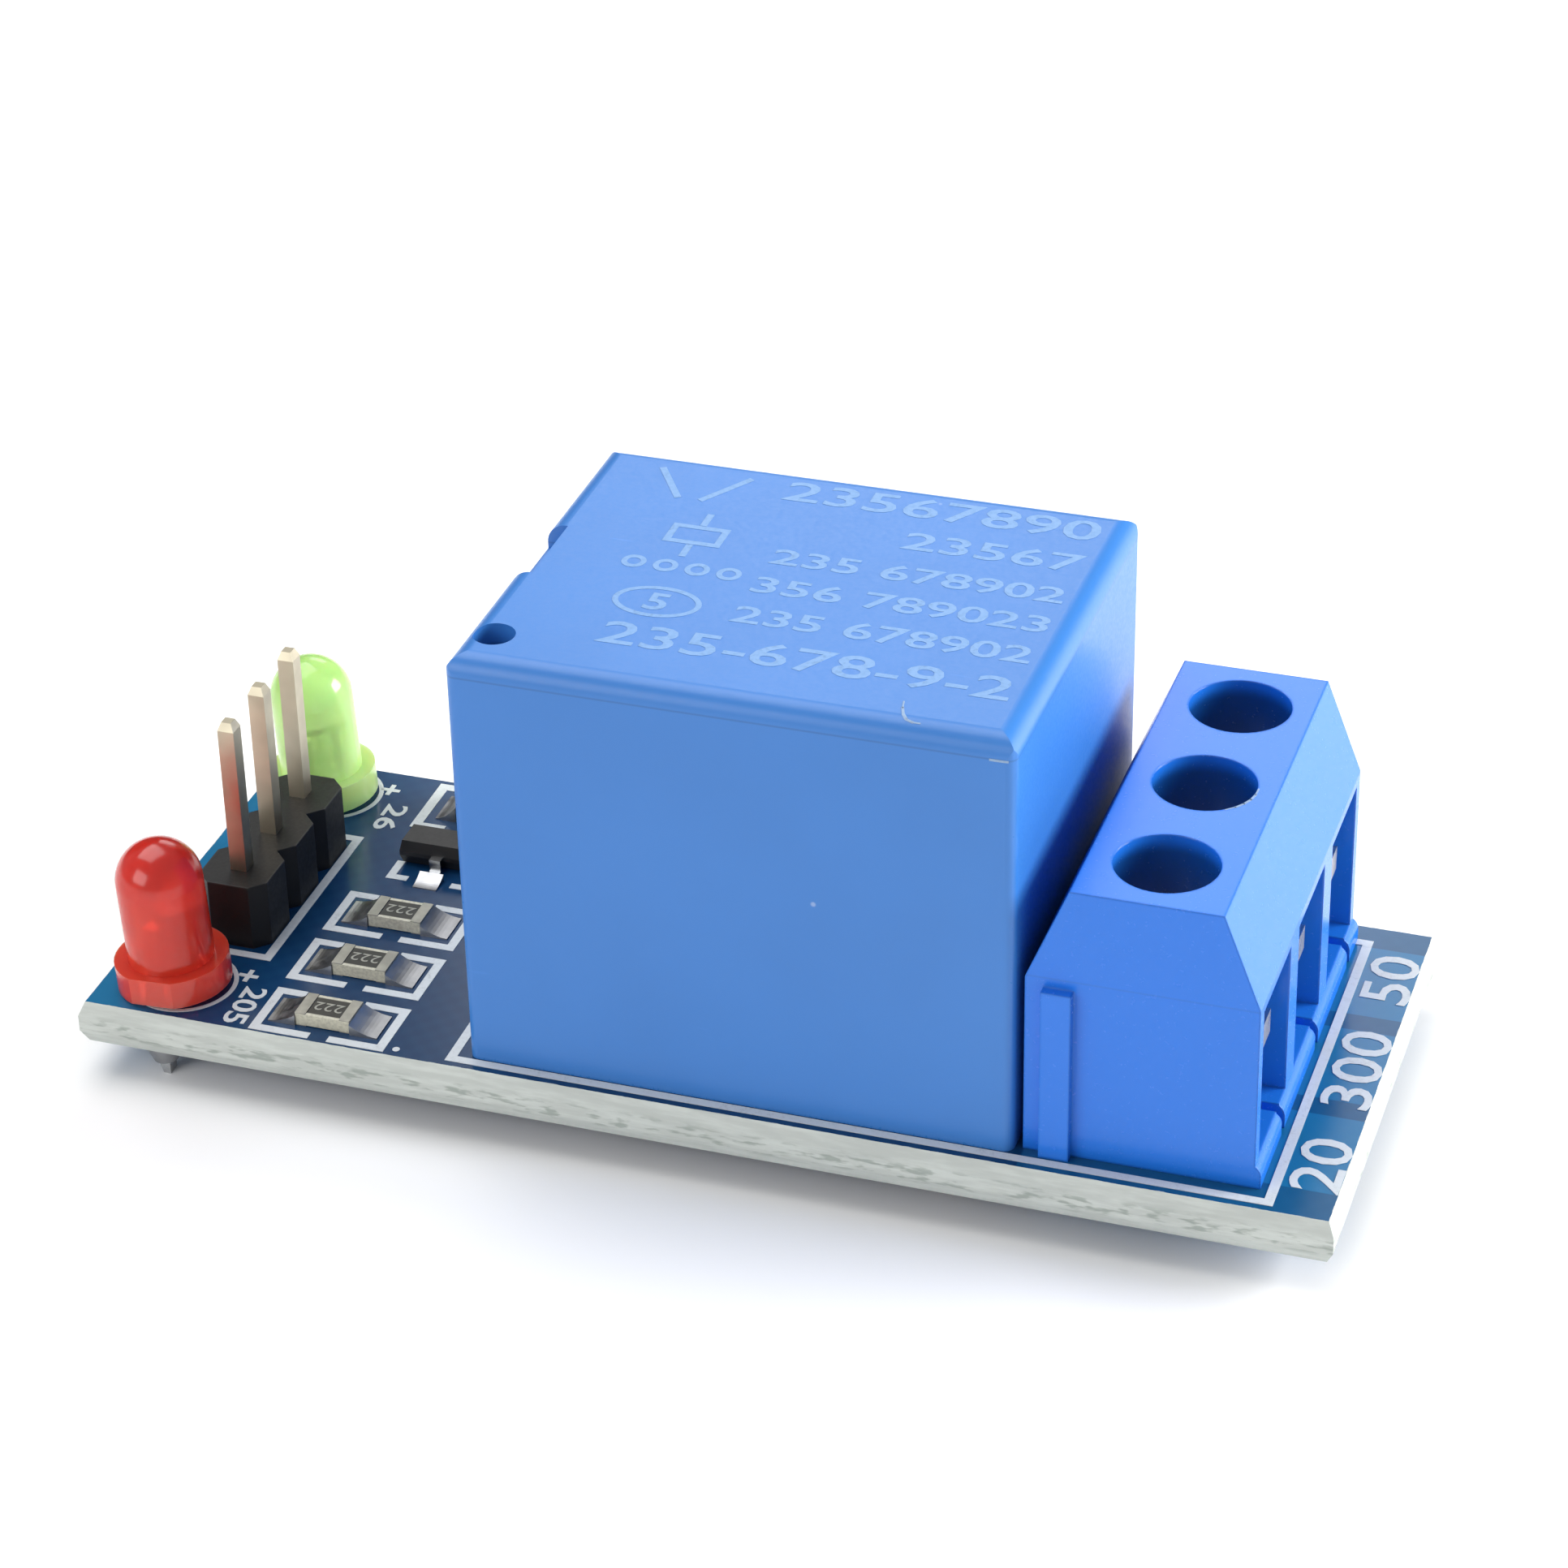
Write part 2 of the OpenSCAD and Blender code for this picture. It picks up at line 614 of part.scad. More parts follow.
module no_strip() color("#b87a4a") in_relay() fixed_strip(-1, no_z - contact_t);
module nc_strip() color("#b87a4a") in_relay() fixed_strip(1, nc_z + contact_t + strip_t);

module fixed_contact(z) translate([contact_x, 0, z]) cylinder(d = contact_d, h = contact_t);

module no_contact() color("#dcdcd4") in_relay() fixed_contact(no_z - contact_t);
module nc_contact() color("#dcdcd4") in_relay() fixed_contact(nc_z);

// ---------------------------------------------------------------- terminal block

module block_section() polygon([
    [0, 0], [0, back_shoulder], [back_slope, block_h], [block_l - front_slope, block_h],
    [block_l - front_draft, front_shoulder], [block_l, 0]]);

// Sill: the floor's front edge, which stands out past the wire face
module sill_section() {
    square([lip + foot_out - foot_r, mouth_sill]);
    square([lip + foot_out, mouth_sill - foot_r]);
    translate([lip + foot_out - foot_r, mouth_sill - foot_r]) circle(foot_r);
}

module along_block(x, y0, y1)
    translate([x, y1, 0]) rotate([90, 0, 0]) linear_extrude(y1 - y0) children();

module pole_space(y) {
    far = front_x - lip;
    span([pocket_x, y - pocket_w/2, floor_t], [far, y + pocket_w/2, pocket_top]);
    span([far - eps, y - pocket_w/2, mouth_sill], [front_x + 1, y + pocket_w/2, mouth_top]);
    translate([cage_mid_x, y, 0]) {
        translate([0, 0, pocket_top - eps])
            cylinder(d = head_d + 2*head_room, h = head_z + head_t + run_clear - pocket_top + eps);
        translate([0, 0, pocket_top]) cylinder(d = driver_d, h = block_h);
    }
    span([bar_tail_x - bar_leg_t/2, y - bar_tail_w/2, -eps],
         [bar_tail_x + bar_leg_t/2, y + bar_tail_w/2, floor_t + eps]);
    // slot that parts the sill
    span([front_x - lip/2, y + sill_gap_y - sill_gap/2, -eps],
         [front_x + 1, y + sill_gap_y + sill_gap/2, mouth_sill + eps]);
}

module terminal_housing() color("#2f6fe0") on_board() difference() {
    union() {
        along_block(block_x, block_y, block_y + block_w) block_section();
        along_block(front_x - lip, block_y, block_y + block_w) sill_section();
        span([block_x + rib_x, block_y - rib_out, 0], [block_x + rib_x + rib_w, block_y + eps, rib_h]);
    }
    for (i = [0:poles - 1]) pole_space(pole_y(i));
    span([block_x + rib_x - rib_room, block_y + block_w - rib_out - rib_room, -eps],
         [block_x + rib_x + rib_w + rib_room, block_y + block_w + eps, rib_h + rib_room]);
}

module screw(i) color("#c4c8cc") on_board() translate([cage_mid_x, pole_y(i), 0]) difference() {
    union() {
        translate([0, 0, head_z]) cylinder(d = head_d, h = head_t);
        translate([0, 0, tip_z]) cylinder(d = screw_d, h = head_z - tip_z + eps);
    }
    box([head_d + 1, slot_w, slot_deep + eps],
        [-head_d/2 - 0.5, -slot_w/2, head_z + head_t - slot_deep]);
}

module clamp_cage(i) color("#d0cdb8") on_board() translate([cage_x, pole_y(i), cage_z])
    difference() {
        box([cage_l, cage_w, cage_h], [0, -cage_w/2, 0]);
        box([cage_l + 2, cage_w - 2*cage_side_t, cage_top_z - cage_z - cage_floor_t],
            [-1, cage_side_t - cage_w/2, cage_floor_t]);
        translate([cage_l/2, 0, cage_top_z - cage_z - eps])
            cylinder(r = screw_d/2 + run_clear, h = cage_top_t + 2*eps);
    }

module current_bar(i) color("#d8d6cc") on_board() translate([pocket_x, pole_y(i), 0]) {
    translate([0, bar_w/2, floor_t]) rotate([90, 0, 0]) linear_extrude(bar_w) union() {
        square([bar_leg_t, bar_z - floor_t + eps]);
        translate([0, bar_z - floor_t])
            square([front_x - bar_reach - pocket_x, bar_t]);
    }
    span([0, -bar_tail_w/2, -board_t - tail_l], [bar_leg_t, bar_tail_w/2, floor_t + eps]);
}

module screw_1() screw(0);
module screw_2() screw(1);
module screw_3() screw(2);
module clamp_cage_1() clamp_cage(0);
module clamp_cage_2() clamp_cage(1);
module clamp_cage_3() clamp_cage(2);
module current_bar_1() current_bar(0);
module current_bar_2() current_bar(1);
module current_bar_3() current_bar(2);

// ---------------------------------------------------------------- header

// One pole's outline: a square with its corners cut
module header_cell() {
    half = header_pitch/2;
    cut = header_pitch/5;
    polygon([[-half, cut - half], [cut - half, -half], [half - cut, -half], [half, cut - half],
             [half, half - cut], [half - cut, half], [cut - half, half], [-half, half - cut]]);
}

module header_body() color("#1c1c1e") on_board() difference() {
    linear_extrude(header_h) for (i = [0:pin_count - 1]) translate([header_x, pin_y(i)]) header_cell();
    for (i = [0:pin_count - 1])
        box([header_pin_t, header_pin_t, header_h + 2],
            [header_x - header_pin_t/2, pin_y(i) - header_pin_t/2, -1]);
}

// Side view of a pin, both tips bluntly tapered
module pin_section() {
    low = -board_t - tail_l;
    half = header_pin_t/2;
    tip = 0.3*header_pin_t;
    polygon([[-tip, low], [tip, low], [half, low + header_tip], [half, header_pin_h - header_tip],
             [tip, header_pin_h], [-tip, header_pin_h], [-half, header_pin_h - header_tip],
             [-half, low + header_tip]]);
}

module header_pin(i) color("#cfcabc") on_board() translate([header_x, pin_y(i), 0])
    intersection_for (turn = [0, 90])
        rotate([0, 0, turn]) translate([0, header_pin_t/2, 0]) rotate([90, 0, 0])
            linear_extrude(header_pin_t) pin_section();

module header_pin_1() header_pin(0);
module header_pin_2() header_pin(1);
module header_pin_3() header_pin(2);

// ---------------------------------------------------------------- lamps

module at_lamp(y) on_board() translate([lamp_x, y, 0]) children();

// The lens and what it holds lean together; the tails below stay upright
module leaning() translate([0, 0, lamp_rise]) rotate([0, -lamp_lean, 0]) children();

// Tail on side s, its tip cut off aslant
module lamp_tail(s) {
    low = -board_t - tail_l;
    half = lead_t/2;
    translate([0, s*lead_off + half, 0]) rotate([90, 0, 0]) linear_extrude(lead_t)
        polygon([[half - lead_tip, low], [half, low], [half, lamp_rise/2], [-half, lamp_rise/2],
                 [-half, low + cut_h]]);
}

module lead_plate(room)
    translate([-lead_t/2 - room, 0, 0]) rotate([90, 0, 90])
        linear_extrude(lead_t + 2*room) children();

// Cathode: the near lead jogs inwards under a broad anvil
module cathode_section(low, room) {
    out = lead_off + lead_t/2 + room;
    inner = lead_off - lead_t/2 - room;
    polygon([[-out, low], [-inner, low], [-inner, jog_z - room], [anvil_y[1] + room, post_z - room],
             [anvil_y[1] + room, anvil_top + room], [anvil_y[0] - room, anvil_top + room],
             [anvil_y[0] - room, post_z + room], [-out, jog_z + lead_t/2 + room]]);
}

// Anode: the far lead jogs inwards under a slim post
module anode_section(low, room) {
    out = lead_off + lead_t/2 + room;
    inner = lead_off - lead_t/2 - room;
    polygon([[inner, low], [out, low], [out, jog_z + lead_t/2 + room],
             [post_y[1] + room, post_z + room], [post_y[1] + room, post_top + room],
             [post_y[0] - room, post_top + room], [post_y[0] - room, post_z - room],
             [inner, jog_z - room]]);
}

module lens() difference() {
    rotate_extrude() intersection() {
        union() {
            square([lens_d/2, lens_h - lens_d/2]);
            translate([0, lens_h - lens_d/2]) circle(d = lens_d);
            square([flange_d/2, flange_h]);
        }
        square([flange_d, lens_h + 1]);
    }
    span([-flange_d, -flange_d, -eps], [flange_d, -flange_flat, flange_h + 1]);
    lead_plate(cavity_room) cathode_section(-eps, cavity_room);
    lead_plate(cavity_room) anode_section(-eps, cavity_room);
}

module cathode() {
    leaning() lead_plate(0) cathode_section(-lamp_rise, 0);
    lamp_tail(-1);
}

module anode() {
    leaning() lead_plate(0) anode_section(-lamp_rise, 0);
    lamp_tail(1);
}

module red_lens() color("#e0262a") at_lamp(lamp_inset) leaning() lens();
module red_cathode() color("#c9ccd0") at_lamp(lamp_inset) cathode();
module red_anode() color("#c9ccd0") at_lamp(lamp_inset) anode();
module green_lens() color("#b8e888") at_lamp(board_w - lamp_inset) leaning() lens();
module green_cathode() color("#c9ccd0") at_lamp(board_w - lamp_inset) cathode();
module green_anode() color("#c9ccd0") at_lamp(board_w - lamp_inset) anode();

// ---------------------------------------------------------------- surface parts

module chip_body() span([chip_skin - chip_l/2, -chip_w/2, chip_skin],
                        [chip_l/2 - chip_skin, chip_w/2, chip_h - chip_skin]);

module resistor(i) color("#4a4a40") on_board() translate([chip_x, chip_mid(i), 0]) chip_body();

module resistor_caps(i) color("#cfd2d4") on_board() translate([chip_x, chip_mid(i), 0])
    difference() {
        for (x = [-chip_l/2, chip_l/2 - chip_cap]) box([chip_cap, chip_w, chip_h], [x, -chip_w/2, 0]);
        chip_body();
    }

module resistor_1() resistor(0);
module resistor_2() resistor(1);
module resistor_3() resistor(2);
module resistor_caps_1() resistor_caps(0);
module resistor_caps_2() resistor_caps(1);
module resistor_caps_3() resistor_caps(2);

// Moulded body's section, half width a: both halves drawn in from an upright band
module draft_section(a, low, band, high, draft)
    polygon([[draft - a, low], [a - draft, low], [a, band[0]], [a, band[1]], [a - draft, high],
             [draft - a, high], [-a, band[1]], [-a, band[0]]]);

module moulded(l, w, low, band, high, draft) intersection() {
    translate([0, w/2, 0]) rotate([90, 0, 0]) linear_extrude(w)
        draft_section(l/2, low, band, high, draft);
    translate([-l/2, 0, 0]) rotate([90, 0, 90]) linear_extrude(l)
        draft_section(w/2, low, band, high, draft);
}

module transistor() color("#17171a") on_board() translate([chip_x, sot_y, 0])
    moulded(sot_l, sot_w, sot_lift, sot_band, sot_h, sot_draft);

// Gull-wing lead: out of the band, down, and along the board
module sot_lead_section() {
    mid = (sot_band[0] + sot_band[1])/2;
    knee = sot_reach - sot_foot;
    polygon([[0, mid - sot_lead_t/2], [knee - sot_lead_t, mid - sot_lead_t/2], [knee - sot_lead_t, 0],
             [sot_reach, 0], [sot_reach, sot_lead_t], [knee, sot_lead_t],
             [knee, mid + sot_lead_t/2], [0, mid + sot_lead_t/2]]);
}

module transistor_leads() color("#d0d2d4") on_board() for (k = [0:2])
    at_sot_toe(k) translate([-sot_reach, sot_lead_w/2, 0]) rotate([90, 0, 0])
        linear_extrude(sot_lead_w) sot_lead_section();

module diode() color("#17171a") on_board() translate([diode_x, diode_y, 0])
    moulded(diode_l, diode_w, diode_lead_t, diode_band, diode_h, diode_draft);

// The diode's strip folds down its end and back under its body
module diode_lead_section() {
    out = diode_l/2 + diode_bend + diode_lead_t;
    polygon([[diode_l/2, diode_lead_z - diode_lead_t], [diode_l/2, diode_lead_z], [out, diode_lead_z],
             [out, 0], [diode_l/2 - diode_foot, 0], [diode_l/2 - diode_foot, diode_lead_t],
             [out - diode_lead_t, diode_lead_t], [out - diode_lead_t, diode_lead_z - diode_lead_t]]);
}

module diode_leads() color("#d0d2d4") on_board() translate([diode_x, diode_y, 0])
    for (turn = [0, 180]) rotate([0, 0, turn]) translate([0, diode_lead_w/2, 0])
        rotate([90, 0, 0]) linear_extrude(diode_lead_w) diode_lead_section();

pcb();
solder_joints();
chip_solder();
relay_case();
relay_base();
yoke();
core();
bobbin();
winding();
armature();
contact_spring();
moving_contact();
return_spring();
common_pin();
coil_pins();
no_strip();
no_contact();
nc_strip();
nc_contact();
terminal_housing();
screw_1();
screw_2();
screw_3();
clamp_cage_1();
clamp_cage_2();
clamp_cage_3();
current_bar_1();
current_bar_2();
current_bar_3();
header_body();
header_pin_1();
header_pin_2();
header_pin_3();
red_lens();
red_cathode();
red_anode();
green_lens();
green_cathode();
green_anode();
resistor_1();
resistor_2();
resistor_3();
resistor_caps_1();
resistor_caps_2();
resistor_caps_3();
transistor();
transistor_leads();
diode();
diode_leads();
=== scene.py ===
import math

import bpy
from mathutils import Matrix, Vector


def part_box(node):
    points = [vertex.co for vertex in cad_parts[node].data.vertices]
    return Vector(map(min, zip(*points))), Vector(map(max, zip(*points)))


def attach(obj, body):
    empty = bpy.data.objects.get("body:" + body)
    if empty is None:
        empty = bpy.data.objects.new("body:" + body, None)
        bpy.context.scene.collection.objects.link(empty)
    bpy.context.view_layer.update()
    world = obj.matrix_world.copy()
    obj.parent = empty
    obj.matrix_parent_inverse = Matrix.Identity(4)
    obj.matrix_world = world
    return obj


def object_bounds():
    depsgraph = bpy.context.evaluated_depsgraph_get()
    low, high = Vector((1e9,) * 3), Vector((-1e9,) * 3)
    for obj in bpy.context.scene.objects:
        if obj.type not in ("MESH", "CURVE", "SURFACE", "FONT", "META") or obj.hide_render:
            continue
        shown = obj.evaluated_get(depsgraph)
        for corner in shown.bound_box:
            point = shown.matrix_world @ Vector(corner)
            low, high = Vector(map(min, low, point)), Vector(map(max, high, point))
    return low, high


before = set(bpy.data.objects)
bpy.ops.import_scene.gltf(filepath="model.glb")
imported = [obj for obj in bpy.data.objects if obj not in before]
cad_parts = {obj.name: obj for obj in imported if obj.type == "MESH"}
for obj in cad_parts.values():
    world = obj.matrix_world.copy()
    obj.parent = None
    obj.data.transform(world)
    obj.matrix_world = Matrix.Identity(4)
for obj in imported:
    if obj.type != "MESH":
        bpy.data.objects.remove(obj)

bl_info = {
    "name": "Relay module board",
    "version": (1, 0, 0),
    "blender": (4, 5, 0),
    "location": "View3D > Sidebar > Relay Board",
    "description": "Inks, finishes and stage for a one-channel relay module",
    "category": "Object",
}

CAD_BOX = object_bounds()
MM = 0.001

PCB_LOW, PCB_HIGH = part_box("pcb")
RELAY_LOW, RELAY_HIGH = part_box("relay_case")
BLOCK_LOW, BLOCK_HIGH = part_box("terminal_housing")
HEADER_LOW, HEADER_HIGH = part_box("header_body")
CHIPS = ["resistor_caps_1", "resistor_caps_2", "resistor_caps_3"]
LAMPS = ["red_lens", "green_lens"]
POLES = ["screw_1", "screw_2", "screw_3"]
RESISTORS = ["resistor_1", "resistor_2", "resistor_3"]


# ---------------------------------------------------------------- settings

def length(label, text, default_mm, least_mm=0.0):
    return bpy.props.FloatProperty(name=label, description=text, default=default_mm*MM,
                                   min=least_mm*MM, precision=5, unit="LENGTH")


def colour(label, text, value):
    return bpy.props.FloatVectorProperty(name=label, description=text, subtype="COLOR",
                                         size=3, min=0.0, max=1.0, default=value)


def power(label, text, value):
    return bpy.props.FloatProperty(name=label, description=text, min=0.0, default=value)


class RelayBoardSizes(bpy.types.PropertyGroup):
    line: length("Silk line", "Width of the silk-screened lines", 0.33)
    ink: length("Ink", "Thickness of the silk-screen ink", 0.02)
    score: length("Score", "How far the bare edges stand out past the solder mask", 0.22)
    chip_margin_x: length("Chip outline, along", "Resistor outline past its lands", 0.42)
    chip_margin_y: length("Chip outline, across", "Resistor outline past the resistor", 0.67)
    relay_margin: length("Relay outline", "Outline past the relay on its two free sides", 0.40)
    block_margin: length("Terminal outline", "Outline past the terminal block's feet", 0.24)
    header_near: length("Header outline, near", "Outline past the header's near end", 0.56)
    header_far: length("Header outline, far", "Outline past the header's far end", 0.24)
    header_side: length("Header outline, side", "Outline past the header's two sides", 0.38)
    ring_out: length("Lamp ring", "Ring past each lamp's flange", -0.05, least_mm=-0.5)
    ring_shift: length("Ring shift", "How far the rings sit from their lamps, inboard", 0.24)
    terminal_high: length("Terminal numbers", "Height of the numbers at the terminals", 1.70)
    lamp_high: length("Lamp numbers", "Height of the numbers at the lamps", 0.86)
    code_high: length("Chip codes", "Height of the codes on the resistors", 0.46)


class RelayBoardColours(bpy.types.PropertyGroup):
    mask: colour("Solder mask", "Blue lacquer over the board", (0.0045, 0.037, 0.108))
    laminate: colour("Laminate", "Bare glass-epoxy at the scored edges", (0.50, 0.53, 0.50))
    silk: colour("Silk screen", "White ink on the board", (0.61, 0.65, 0.67))
    relay: colour("Relay case", "Sky-blue moulded plastic", (0.040, 0.193, 0.565))
    relay_ink: colour("Relay print", "Pale ink on the relay's top", (0.165, 0.330, 0.62))
    terminal: colour("Terminal block", "Royal-blue moulded plastic", (0.0140, 0.174, 0.72))
    header: colour("Header", "Black moulded plastic", (0.011, 0.0105, 0.011))
    pin: colour("Pins", "Pale plated square pins", (0.64, 0.58, 0.44))
    tin: colour("Tin", "Tinned leads", (0.58, 0.59, 0.60))
    solder: colour("Solder", "Reflowed solder", (0.38, 0.385, 0.40))
    red: colour("Red lamp", "Red tinted epoxy", (1.0, 0.068, 0.034))
    green: colour("Green lamp", "Lime tinted epoxy", (0.68, 0.98, 0.36))
    glaze: colour("Resistor glaze", "Dark glaze over the resistors' film", (0.010, 0.010, 0.008))
    ceramic: colour("Resistor body", "Cream alumina of the resistors", (0.62, 0.60, 0.48))
    moulding: colour("Moulding", "Black compound of the transistor and diode", (0.008, 0.008, 0.009))
    iron: colour("Iron", "Plated soft iron of the magnet", (0.55, 0.56, 0.58))
    copper: colour("Winding", "Enamelled copper wire", (0.62, 0.20, 0.07))
    bronze: colour("Bronze", "Contact strips and springs", (0.70, 0.42, 0.20))
    nylon: colour("Bobbin", "Natural nylon", (0.80, 0.77, 0.68))


class RelayBoardStage(bpy.types.PropertyGroup):
    camera_place: bpy.props.FloatVectorProperty(
        name="Camera", description="Place of the camera", subtype="TRANSLATION", size=3,
        unit="LENGTH", precision=5, default=(0.04138, -0.11905, 0.08713))
    camera_turn: bpy.props.FloatVectorProperty(
        name="Camera turn", description="Turn of the camera", subtype="EULER", size=3,
        default=(math.radians(58.611), math.radians(1.065), math.radians(18.123)))
    camera_lens: bpy.props.FloatProperty(
        name="Lens", description="Focal length on a 36 mm sensor, in millimetres", default=100.91)
    sky: power("Room light", "Strength of the white room light", 0.46)
    key: power("Key light", "Power of the overhead softbox, in watts", 0.48)
    fill: power("Fill light", "Power of the front softbox, in watts", 0.34)
    side: power("Side light", "Power of the softbox past the terminals, in watts", 1.10)
    back: power("Back light", "Power of the softbox behind the board, in watts", 0.087)
    rim: power("Rim light", "Power of the low softbox past the far corner, in watts", 0.036)


def sizes():
    return bpy.context.scene.relay_board_sizes


def colours():
    return bpy.context.scene.relay_board_colours


# ---------------------------------------------------------------- shader helpers

class Graph:
    """Short names for the shader nodes that the finishes use."""

    def __init__(self, tree):
        self.tree = tree

    def node(self, kind, **settings):
        made = self.tree.nodes.new(kind)
        for name, value in settings.items():
            setattr(made, name, value)
        return made

    def feed(self, socket, value):
        if isinstance(value, bpy.types.NodeSocket):
            self.tree.links.new(value, socket)
        elif value is not None:
            socket.default_value = value

    def math(self, operation, a, b=None, clamp=False):
        made = self.node("ShaderNodeMath", operation=operation, use_clamp=clamp)
        self.feed(made.inputs[0], a)
        self.feed(made.inputs[1], b)
        return made.outputs[0]

    def product(self, a, b):
        return self.math("MULTIPLY", a, b)

    def off(self, value, middle):
        """How far a value is from a middle one, to either side."""
        return self.math("ABSOLUTE", self.math("SUBTRACT", value, middle))

    def range(self, value, low, high, out_low=0.0, out_high=1.0):
        made = self.node("ShaderNodeMapRange", interpolation_type="SMOOTHSTEP")
        for socket, given in zip(made.inputs, (value, low, high, out_low, out_high)):
            self.feed(socket, given)
        return made.outputs[0]

    def mix(self, factor, a, b):
        made = self.node("ShaderNodeMix", data_type="RGBA", blend_type="MIX")
        self.feed(made.inputs["Factor"], factor)
        for socket, given in ((made.inputs[6], a), (made.inputs[7], b)):
            if isinstance(given, bpy.types.NodeSocket):
                self.feed(socket, given)
            else:
                socket.default_value = (*given[:3], 1.0)
        return made.outputs[2]

    def noise(self, vector, scale, detail=2.0, roughness=0.5):
        made = self.node("ShaderNodeTexNoise")
        self.feed(made.inputs["Vector"], vector)
        self.feed(made.inputs["Scale"], scale)
        made.inputs["Detail"].default_value = detail
        made.inputs["Roughness"].default_value = roughness
        return made.outputs["Fac"]

    def place(self, vector, move=(0, 0, 0), scale=(1, 1, 1)):
        made = self.node("ShaderNodeMapping", vector_type="POINT")
        self.feed(made.inputs["Vector"], vector)
        made.inputs["Location"].default_value = move
        made.inputs["Scale"].default_value = scale
        return made.outputs["Vector"]

    def split(self, vector):
        made = self.node("ShaderNodeSeparateXYZ")
        self.feed(made.inputs[0], vector)
        return made.outputs

    def where(self):
        return self.node("ShaderNodeTexCoord").outputs["Object"]

    def group(self, tree, **given):
        made = self.node("ShaderNodeGroup", node_tree=tree)
        for name, value in given.items():
            self.feed(made.inputs[name.replace("_", " ")], value)
        return made.outputs

    def bump(self, height, strength, distance_mm, over=None):
        made = self.node("ShaderNodeBump")
        self.feed(made.inputs["Normal"], over)
        made.inputs["Strength"].default_value = strength
        made.inputs["Distance"].default_value = distance_mm*MM
        self.feed(made.inputs["Height"], height)
        return made.outputs["Normal"]


def shared_group(name, wire, vectors, numbers, results):
    """The node group of this name, which wire() fills in the first time it is asked for."""
    tree = bpy.data.node_groups.get(name)
    if tree is None:
        tree = bpy.data.node_groups.new(name, "ShaderNodeTree")
        for labels, way, kind in ((vectors, "INPUT", "NodeSocketVector"),
                                  (numbers, "INPUT", "NodeSocketFloat"),
                                  (results, "OUTPUT", "NodeSocketFloat")):
            for label in labels:
                tree.interface.new_socket(label, in_out=way, socket_type=kind)
        g = Graph(tree)
        wire(g, g.node("NodeGroupInput").outputs, g.node("NodeGroupOutput").inputs)
    return tree


def wire_grain(g, given, out):
    g.feed(out["Grain"], g.noise(given["Vector"], given["Fine"], 3.0, 0.6))
    g.feed(out["Mottle"], g.noise(given["Vector"], given["Slow"], 2.0, 0.5))


def wire_edges(g, given, out):
    absolute = g.node("ShaderNodeVectorMath", operation="ABSOLUTE")
    g.feed(absolute.inputs[0], given["Vector"])
    inward = g.node("ShaderNodeVectorMath", operation="SUBTRACT")
    g.feed(inward.inputs[0], given["Half size"])
    g.feed(inward.inputs[1], absolute.outputs[0])
    x, y, z = g.split(inward.outputs[0])
    # middle one of the three distances from the faces: the nearest edge
    middle = g.math("MAXIMUM", g.math("MINIMUM", x, y),
                    g.math("MINIMUM", g.math("MAXIMUM", x, y), z))
    wobble = g.noise(given["Vector"], 900.0, 2.0, 0.5)
    reach = g.product(given["Width"], g.math("ADD", 0.6, g.product(wobble, 0.8)))
    g.feed(out["Mask"], g.range(middle, 0.0, reach, 1.0, 0.0))


def wire_marks(g, given, out):
    cells = g.node("ShaderNodeTexVoronoi", feature="F1")
    g.feed(cells.inputs["Vector"], given["Vector"])
    g.feed(cells.inputs["Scale"], 420.0)
    chosen = g.range(g.split(cells.outputs["Color"])[0], 0.86, 0.90)
    near = g.range(cells.outputs["Distance"], 0.030, 0.055, 1.0, 0.0)
    g.feed(out["Specks"], g.product(g.product(chosen, near), given["Specks"]))
    # hairs run along one direction: a noise drawn far out, of which only the ridges show
    drawn = g.noise(g.place(given["Vector"], scale=(0.09, 1.0, 1.0)), 4200.0, 1.0)
    line = g.range(drawn, 0.72, 0.78)
    patch = g.range(g.noise(given["Vector"], 240.0, 1.0), 0.55, 0.70)
    g.feed(out["Scratches"], g.product(g.product(line, patch), given["Scratches"]))


def grain_group():
    """Fine moulding texture over slow mottling."""
    return shared_group("Moulded grain", wire_grain, ["Vector"], ["Fine", "Slow"],
                        ["Grain", "Mottle"])


def edge_group():
    """Mask that is 1 on a box's edges and fades out over the width given."""
    return shared_group("Box edges", wire_edges, ["Vector", "Half size"], ["Width"], ["Mask"])


def speck_group():
    """Sparse pale specks and hair scratches, as handling leaves on plastic."""
    return shared_group("Handling marks", wire_marks, ["Vector"], ["Specks", "Scratches"],
                        ["Specks", "Scratches"])


def start_material(name):
    material = bpy.data.materials.new(name)
    material.use_nodes = True
    return material, Graph(material.node_tree), material.node_tree.nodes["Principled BSDF"].inputs


def box_middle(node):
    low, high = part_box(node)
    return (low + high)/2


def middle_and_half(nodes):
    lows, highs = zip(*(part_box(node) for node in nodes))
    low = Vector([min(v[k] for v in lows) for k in range(3)])
    high = Vector([max(v[k] for v in highs) for k in range(3)])
    return (low + high)/2, (high - low)/2


def scaled(base, factor):
    return [v*factor for v in base]


# ---------------------------------------------------------------- finishes

